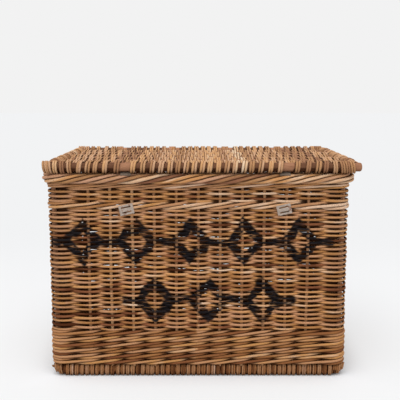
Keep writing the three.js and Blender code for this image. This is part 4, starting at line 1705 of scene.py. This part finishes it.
@dataclass
class Wrapping:
    """A tight wrapping of strands round a straight pole.

    Attributes:
        bundle: The mesh it goes to.
        start: Where the wrapping starts on the pole's middle line.
        end: Where it ends.
        radius: Radius of the middle line of its strands.
        turns: How many turns it makes.
        twins: How many strands lie side by side.
        strand: A strand's radius.
        hand: 1 or -1, the way in which it turns.
        begin: Where round the pole it starts, as a share of a turn.
        first: The random seed.
        tone: The middle tone of its strands.
        spread: How much of the range of tones is used.
        taper: The share of the radius that is lost towards the end.
        lift: How far its middle line rises towards the end.
        painted_shade: Painted shade all round its strands.
        samples: How many points a turn has.
    """

    bundle: Bundle
    start: Triple
    end: Triple
    radius: float
    turns: float
    twins: int = 2
    strand: float = 2.9
    hand: int = 1
    begin: float = 0.0
    first: int = 7
    tone: float = 0.6
    spread: float = 0.5
    taper: float = 0.0
    lift: float = 0.0
    painted_shade: float = 0.0
    samples: int = 14

    def build(self) -> None:
        """Adds the wrapping's strands to its mesh."""
        chance = default_rng(self.first)
        start, end = np.array(self.start), np.array(self.end)
        axis = unit(end - start)
        share = np.linspace(0, 1, int(self.turns * self.samples) + 1)
        phase = TAU * (self.begin + self.hand * self.turns * share)
        radial = turned(np.cross(axis, UP), phase)
        changes = self.tone + self.spread * (chance.beta(2.2, 2.0, int(self.turns) + 2) - 0.5)
        for twin in range(self.twins):
            slide = (twin - (self.twins - 1) / 2) * 2 * self.strand
            middle = start + (end - start) * share[:, None] + axis * slide
            middle = middle + UP * (self.lift * share**2)[:, None]
            radius = self.radius * (1 - self.taper * share**2)
            tone = changes[np.floor(self.turns * share).astype(int)] + chance.uniform(-0.08, 0.08)
            self.bundle.add(
                Strand(
                    middle + radial * radius[:, None],
                    radius=self.strand * chance.uniform(0.95, 1.03),
                    side=axis,
                    tone=tone,
                    seed=chance.uniform(0, 1),
                    air=radial,
                    painted_shade=self.painted_shade,
                )
            )


@dataclass
class Lashings:
    """The wrappings at the ends of the lid's front and back poles.

    Attributes:
        lid: The lid's panel.
        left: Each run of wraps at the left: its start and end, from the lid's middle, and its turns.
        right: The same at the right.
        middle_line: How far the middle of the strands lies outside the pole.
        strand: A strand's radius.
        first: The random seed.
    """

    lid: Panel
    left: tuple[Triple, ...] = (
        (424.0, 447.0, 2.0),
        (411.0, 415.0, 1.0),
        (391.0, 396.0, 1.0),
        (371.5, 375.0, 1.0),
    )
    right: tuple[Triple, ...] = ((386.0, 427.0, 3.0), (370.0, 374.0, 1.0))
    middle_line: float = 2.9
    strand: float = 3.3
    first: int = 40

    def build(self) -> None:
        """Makes the four lashings."""
        x, y, z = self.lid.centre
        for i, (end, side) in enumerate(itertools.product(End, Side)):
            place = y + end * self.lid.pole_y
            bundle = Bundle(f"wrapped_{word(end)}_{word(side)}_end", under=0.5)
            runs = self.left if side is Side.LEFT else self.right
            for j, (inner, outer, turns) in enumerate(runs):
                Wrapping(
                    bundle,
                    (x + side * inner, place, z),
                    (x + side * outer, place, z),
                    self.lid.pole_radius + self.middle_line,
                    turns,
                    hand=-1,
                    begin=0.5 if side * end < 0 else 0.0,
                    strand=self.strand,
                    first=self.first + i + 7 * j,
                    tone=0.56,
                    spread=0.8,
                ).build()
            node = f"lid_lashing_{word(end)}_{word(side)}"
            settle(bundle.build(), Body.LID, Slot.CANE, LID_CANE, node)


@dataclass
class SidePoles:
    """The side poles of a panel, bound with thin cane all along.

    Attributes:
        panel: The panel.
        finish: The finish of the cane.
        pitch: Distance from one turn of the cane to the next.
        cane: The cane's radius.
        strands: How many canes lie side by side.
        half: Half the poles' length.
        knuckle: Half the width of the thicker wrapping at each stick, or 0 for none.
        knuckle_cane: Radius of the cane of that wrapping.
        knuckle_line: How far its middle line lies outside the front pole's radius.
        slimmer: How much thinner the side poles are than the front pole.
        sunk: How far the cane lies closer to the pole than round the front pole's radius.
        first: The random seed.
    """

    panel: Panel
    finish: CaneFinish
    pitch: float
    cane: float
    strands: int = 1
    half: float = 0.0
    knuckle: float = 0.0
    knuckle_cane: float = 3.2
    knuckle_line: float = 2.8
    slimmer: float = 0.6
    sunk: float = 1.2
    first: int = 50

    def build(self) -> None:
        """Makes both poles and their bindings."""
        x, y, z = self.panel.centre
        half = self.half
        for i, side in enumerate(Side):
            place = x + side * self.panel.pole_x
            Pole(
                f"{self.panel.name}_{word(side)}_pole",
                (place, y - half, z),
                (place, y + half, z),
                self.panel.pole_radius - self.slimmer,
                2.0,
                self.panel.body,
                self.first + i,
            ).build()
            bundle = Bundle(f"{self.panel.name}_{word(side)}_binding")
            run = self.panel.pole_y - self.panel.pole_radius - 4
            Wrapping(
                bundle,
                (place, y - run, z),
                (place, y + run, z),
                self.panel.pole_radius + self.cane - self.sunk,
                round(2 * run / self.pitch),
                twins=self.strands,
                strand=self.cane,
                first=self.first + 4 + i,
                tone=0.4,
                spread=0.7,
            ).build()
            for j, stick in enumerate(self.panel.sticks() if self.knuckle else []):
                Wrapping(
                    bundle,
                    (place, y + stick - self.knuckle, z),
                    (place, y + stick + self.knuckle, z),
                    self.panel.pole_radius + self.knuckle_line,
                    3,
                    strand=self.knuckle_cane,
                    first=self.first + 10 + 5 * i + j,
                    tone=0.55,
                    spread=0.9,
                ).build()
            settle(bundle.build(), self.panel.body, Slot.CANE, self.finish)


@dataclass
class HingeLoops:
    """Loops of cane round the lid's back pole and through the wall under the rim.

    Attributes:
        places: Their places from left to right.
        axis_y: Place of the lid's back pole from front to back.
        axis_z: Its level.
        top_round: Radius of the loops' middle line over that pole.
        rim_y: Place of the rim from front to back.
        rim_z: Its level.
        rim_reach: How far the loops go in front of the rim's middle and behind it.
        rim_fall: How far they go below it.
        drop: How much lower than the rim the middle of that bend is.
        cane: The cane's radius.
        turns: How many turns of cane a loop has.
        spacing: Distance from one turn to the next, in radii.
        sway: How far a turn leans to the side.
        samples: How many points each of the two bends has.
        first: The random seed.
    """

    places: tuple[float, ...] = (-283.5, -94.5, 94.5, 283.5)
    axis_y: float = 285.0
    axis_z: float = 621.0
    top_round: float = 15.2
    rim_y: float = 277.0
    rim_z: float = 587.7
    rim_reach: float = 21.0
    rim_fall: float = 18.0
    drop: float = 4.0
    cane: float = 2.3
    turns: int = 5
    spacing: float = 2.05
    sway: float = 0.5
    samples: int = 13
    first: int = 60

    def _ring(self) -> np.ndarray:
        """Returns the loop's middle line as y and z, from a CAD measure of the loops."""
        pole = np.linspace(0, math.pi, self.samples)
        over = np.column_stack([np.cos(pole), np.sin(pole)]) * self.top_round
        over += [self.axis_y, self.axis_z]
        under = np.linspace(math.pi, TAU, self.samples)
        below = np.column_stack([np.cos(under) * self.rim_reach, np.sin(under) * self.rim_fall])
        below += [self.rim_y, self.rim_z - self.drop]
        return np.concatenate([over, below])

    def build(self) -> None:
        """Makes the loops."""
        chance = default_rng(self.first)
        ring = self._ring()
        centre = np.array([(self.axis_y + self.rim_y) / 2, (self.axis_z + self.rim_z) / 2])
        for i, place in enumerate(self.places):
            bundle = Bundle(f"cane_hinge_loop_{i + 1}")
            tone = chance.uniform(0.45, 0.75)
            for turn in range(self.turns):
                x = place + (turn - (self.turns - 1) / 2) * self.spacing * self.cane
                lean = chance.uniform(-self.sway, self.sway)
                sway = lean * np.sin(np.linspace(0, TAU, len(ring), endpoint=False))
                bundle.add(
                    Strand(
                        np.column_stack([x + sway, ring]),
                        radius=self.cane,
                        side=RIGHT,
                        tone=tone + chance.uniform(-0.15, 0.15),
                        seed=chance.uniform(0, 1),
                        air=np.column_stack([np.zeros(len(ring)), unit(ring - centre)]),
                        closed=True,
                    )
                )
            settle(bundle.build(), Body.BASKET, Slot.CANE, RIM_CANE, f"hinge_loop_{i + 1}")


@dataclass
class Handles:
    """Bow handles on the end walls, of three strands twisted round each other.

    Attributes:
        wall: Distance of the end walls' outside from the middle.
        z: The handles' level.
        span: Distance between a handle's two ends.
        reach: How far the middle of a bow stands out of the wall.
        seat: How far its ends go into the wall.
        strand: A strand's radius.
        twist: How far a strand's middle lies from the bow's.
        turns: How many turns the strands make.
        strands: How many strands there are.
        curve: How many points half a bow is drawn with.
        samples: How many points a strand has.
        first: The random seed.
    """

    wall: float = 434.0
    z: float = 442.2
    span: float = 142.0
    reach: float = 35.0
    seat: float = 11.0
    strand: float = 3.9
    twist: float = 4.6
    turns: float = 5.5
    strands: int = 3
    curve: int = 22
    samples: int = 110
    first: int = 70

    def _bow(self) -> np.ndarray:
        """Returns the middle line as outward distance and y."""
        half = self.span / 2
        out = self.reach
        corners = np.array([[0, -half], [out, -half], [out, -half / 2], [out, 0]])
        share = np.linspace(0, 1, self.curve)[:, None]
        rest = 1 - share
        weights = [rest**3, 3 * rest**2 * share, 3 * rest * share**2, share**3]
        bow = sum(weight * corner for weight, corner in zip(weights, corners))
        bow = np.vstack([[[-self.seat, -half]], bow])
        return np.vstack([bow, (bow * [1, -1])[-2::-1]])

    def build(self) -> None:
        """Makes both handles."""
        chance = default_rng(self.first)
        bow = self._bow()
        lengths = np.concatenate([[0], np.cumsum(np.linalg.norm(np.diff(bow, axis=0), axis=1))])
        places = np.linspace(0, lengths[-1], self.samples)
        out, along = (np.interp(places, lengths, bow[:, i]) for i in range(2))
        phase = TAU * self.turns * places / places[-1]
        level = np.full(len(places), self.z)
        for side in Side:
            middle = np.column_stack([side * (self.wall + out), along, level])
            across = np.cross(unit(np.gradient(middle, axis=0)), UP)
            bundle = Bundle(f"twisted_handle_{word(side)}", sides=9)
            for i in range(self.strands):
                radial = turned(across, phase + i * TAU / self.strands)
                bundle.add(
                    Strand(
                        middle + radial * self.twist,
                        radius=self.strand,
                        side=radial,
                        air=radial,
                        tone=chance.uniform(0.35, 0.85),
                        seed=chance.uniform(0, 1),
                    )
                )
            settle(bundle.build(), Body.BASKET, Slot.CANE, RIM_CANE, f"handle_{word(side)}")


@dataclass
class Shaped:
    """A piece made from the CAD's own faces, with its edges rounded.

    Attributes:
        node: The CAD node.
        name: The piece's name.
        slot: The record's slot of its finish.
        finish: Its finish.
        bevel: How much its edges are rounded.
        segments: Faces across a rounded edge.
        weld: Points closer than this become one.
        flat_angle: The least angle in degrees at which two faces stay apart.
        edge_angle: The least angle in degrees of an edge that is rounded.
        smooth_angle: The greatest angle in degrees over which the shading is smooth.
    """

    node: str
    name: str
    slot: Slot
    finish: Finish
    bevel: float = 0.35
    segments: int = 3
    weld: float = 0.01
    flat_angle: float = 1.0
    edge_angle: float = math.degrees(0.5)
    smooth_angle: float = 40.0

    def build(self) -> None:
        """Makes the piece."""
        source = bpy.data.objects[self.node]
        mesh = source.data.copy()
        mesh.name = self.name
        mesh.transform(source.matrix_world)
        work = bmesh.new()
        work.from_mesh(mesh)
        bmesh.ops.remove_doubles(work, verts=work.verts, dist=self.weld * MM)
        flat = math.radians(self.flat_angle)
        bmesh.ops.dissolve_limit(work, angle_limit=flat, verts=work.verts, edges=work.edges)
        least = math.radians(self.edge_angle)
        sharp = [e for e in work.edges if len(e.link_faces) == 2 and e.calc_face_angle(0) > least]
        bmesh.ops.bevel(
            work,
            geom=sharp,
            offset=self.bevel * MM,
            segments=self.segments,
            profile=0.5,
            affect="EDGES",
            clamp_overlap=True,
        )
        bmesh.ops.triangulate(work, faces=[f for f in work.faces if len(f.verts) > 4])
        work.to_mesh(mesh)
        work.free()
        for polygon in mesh.polygons:
            polygon.use_smooth = True
        mesh.set_sharp_from_angle(angle=math.radians(self.smooth_angle))
        settle(added(self.name, mesh), Body.BASKET, self.slot, self.finish, self.node)


@dataclass(frozen=True)
class Studio:
    """A pale floor and backdrop, soft even light and a camera at the photograph's angle.

    Attributes:
        camera_place: The camera's place.
        tilt: The angle in radians by which it looks down.
        lens: Its focal length in mm, for a picture 36 mm wide.
        floor_half: Half the floor's size.
        floor_shades: The floor's colour in its own light, to other pieces and to the camera.
        sky: Strength of the world's light.
        backdrop: Display tone of the world to the camera.
        near_tone: Display tone of the evened floor near the camera.
        far_tone: That far away.
        tone_depths: The depths where these two tones are reached.
        shadow_share: How much of the floor's own light is left in the evened part.
        contact: Half the width and half the depth of the floor at the foot that stays as it is, and
            how far outside of it the evening is full.
        suns: Name, place, strength and angle in degrees of each lamp.
    """

    camera_place: Triple = (0.005, -2.243, 0.821)
    tilt: float = 0.1488
    lens: float = 63.0
    floor_half: float = 30.0
    floor_shades: tuple[tuple[float, ...], tuple[float, ...]] = (
        (0.70, 0.71, 0.72, 1.0),
        (0.905, 0.92, 0.94, 1.0),
    )
    sky: float = 0.56
    backdrop: float = 242.0
    near_tone: float = 244.0
    far_tone: float = 229.0
    tone_depths: tuple[float, float] = (-0.2, 2.0)
    shadow_share: float = 0.42
    contact: Triple = (0.431, 0.277, 0.11)
    suns: tuple[tuple[str, Triple, float, float], ...] = (
        ("key", (-0.2, -0.5, 1.3), 1.7, 60.0),
        ("fill", (0.35, -0.9, 0.8), 0.4, 90.0),
    )

    def build(self) -> None:
        """Makes the camera, the floor, the lamps and the world."""
        scene = bpy.context.scene
        camera = added("camera", bpy.data.cameras.new("camera"))
        camera.location = self.camera_place
        camera.rotation_euler = (math.pi / 2 - self.tilt, 0.0, 0.0)
        camera.data.lens = self.lens
        camera.data.sensor_width = 36.0
        camera.data.clip_end = 100.0
        scene.camera = camera
        self._floor()
        self._world()
        for sun in self.suns:
            self._sun(*sun)
        scene.view_settings.view_transform = "Standard"

    def _floor(self) -> None:
        """Makes the pale floor, whose camera view is evened out except close to the foot."""
        mesh = bpy.data.meshes.new("floor")
        size = self.floor_half
        corners = [(-size, -size, 0), (size, -size, 0), (size, size, 0), (-size, size, 0)]
        mesh.from_pydata(corners, [], [(0, 1, 2, 3)])
        floor = added("floor", mesh)
        shader = Shader("pale_floor")
        seen = shader.node("ShaderNodeLightPath", {}, {}, "Is Camera Ray")
        matt_colour = shader.mix(seen, *self.floor_shades)
        matt = shader.node("ShaderNodeBsdfDiffuse", {}, {"Color": matt_colour})
        x, y, _ = shader.parts(shader.place())
        near, far = linear(*[self.near_tone] * 3), linear(*[self.far_tone] * 3)
        colour = shader.mix(y.rise(*self.tone_depths), near, far)
        even = shader.node("ShaderNodeEmission", {}, {"Color": colour})
        half_x, half_y, fade = self.contact
        away = (abs(x) - half_x).at_least(abs(y) - half_y).rise(0.0, fade)
        share = seen * away * (1 - self.shadow_share)
        surface = shader.node("ShaderNodeMixShader", {}, {0: share, 1: matt, 2: even})
        floor.data.materials.append(shader.end(surface))

    def _world(self) -> None:
        """Makes the world: near white to the camera and plain soft light to the rest."""
        shader = Shader("studio", "worlds")
        rays = shader.node("ShaderNodeLightPath", {}, {}, "Is Camera Ray")
        colour = linear(*[self.backdrop] * 3)
        seen = shader.node("ShaderNodeBackground", {}, {"Color": colour})
        white = {"Color": (1.0, 1.0, 1.0, 1.0), "Strength": self.sky}
        light = shader.node("ShaderNodeBackground", {}, white)
        mix = shader.node("ShaderNodeMixShader", {}, {0: rays, 1: light, 2: seen})
        bpy.context.scene.world = shader.end(mix, "World")

    @staticmethod
    def _sun(name: str, place: Triple, power: float, spread: float) -> None:
        """Makes a wide sun that shines from a place to the origin.

        Args:
            name: Its name.
            place: Where it shines from.
            power: Its strength.
            spread: Its angle in degrees.
        """
        data = bpy.data.lights.new(name, "SUN")
        data.energy = power
        data.angle = math.radians(spread)
        turn = (-Vector(place)).to_track_quat("-Z", "Y")
        added(name, data).rotation_euler = turn.to_euler()


def build_lid() -> None:
    """Builds the lid: its woven panel, bound side poles and lashings."""
    front = [(-216.0, 21.0), (232.4, 21.0)]
    back = [(-295.5, 25.0), (-106.5, 25.0), (82.5, 25.0), (271.5, 25.0)]
    lid = Panel(
        "lid",
        Body.LID,
        centre=(12.0, 0.0, 621.0),
        width=900.0,
        depth=607.0,
        loop_places=(np.arange(31) - 15) * 23.0,
        tucked_places=np.array([-402.5, -384.5, -366.0, 366.0, 384.5, 402.5]),
        bare={End.FRONT: front, End.BACK: back},
        tuck={End.FRONT: 19.0, End.BACK: 19.0},
        finish=LID_CANE,
    )
    lid.build()
    SidePoles(lid, LID_CANE, 12.0, 2.1, half=266.0, knuckle=13.0, first=50).build()
    Lashings(lid).build()


def build_base() -> None:
    """Builds the base: its woven panel and bound side poles."""
    base = Panel(
        "base",
        Body.BASKET,
        centre=(0.0, 0.0, 18.5),
        width=862.0,
        depth=554.0,
        loop_places=(np.arange(53) - 26.0) * 14.9,
        tucked_places=np.array([]),
        bare={},
        tuck={},
        finish=FOOT_CANE,
        lane=3.6,
        twin=2.6,
        radius=3.0,
        flat=0.95,
        pole_lean=0.2,
        wander=1.6,
        squareness=5.0,
        chamfer=18.0,
        first=8,
    )
    base.build()
    SidePoles(base, FOOT_CANE, 14.0, 2.6, half=240.0, first=80).build()
    bundle = Bundle("wrapped_foot")
    corner, toe, level = 402.0, 27.0, base.centre[2]
    for i, end in enumerate(End):
        y = end * base.pole_y
        for side in Side:
            Wrapping(
                bundle,
                (side * corner, y, level),
                (side * (corner + toe), y, level),
                base.pole_radius + 2.7,
                2.4,
                hand=side,
                strand=2.8,
                first=90 + 2 * i + side,
                taper=0.72,
                lift=12.5,
            ).build()
        # The wrapping along the poles is dark in tone and darkened further with painted shade.
        Wrapping(
            bundle,
            (-corner, y, level),
            (corner, y, level),
            base.pole_radius + 1.8,
            round(2 * corner / 5.8),
            twins=1,
            strand=2.9,
            first=95 + i,
            tone=0.2,
            painted_shade=0.25,
        ).build()
    settle(bundle.build(), Body.BASKET, Slot.WICKER, FOOT_CANE)


def main() -> None:
    """Builds the hamper piece by piece, then the studio."""
    logging.basicConfig(level=logging.INFO, format="%(message)s")
    Uprights().build()
    Wale("foot_wale", 37.0, 140.2, 6, first=11).build()
    Randing("lower_randing", 140.2, 499.2, 54, 4, tone=-0.08, first=12).build()
    Wale("mid_wale", 499.2, 519.2, 1, tone=0.71, crossing_shade=0.05, first=13).build()
    Randing("upper_randing", 519.2, 560.2, 6, 1, tone=0.08, first=14).build()
    Wale("top_wale", 560.2, 573.2, 1, height=3.4, tone=0.68, crossing_shade=0.1, first=15).build()
    RimBorder().build()
    build_base()
    build_lid()
    HingeLoops().build()
    Handles().build()
    steel, leather = WornMetal(), WornLeather()
    for way in map(word, Side):
        Shaped(f"keeper_plate_{way}", f"slotted_plate_{way}", Slot.PLATE, steel).build()
        Shaped(f"backing_plate_{way}", f"clinch_plate_{way}", Slot.PLATE, steel, 0.25).build()
        Shaped(f"rim_saddle_{way}", f"leather_saddle_{way}", Slot.LEATHER, leather, 0.8).build()
    Studio().build()


if __name__ == "__main__":
    main()
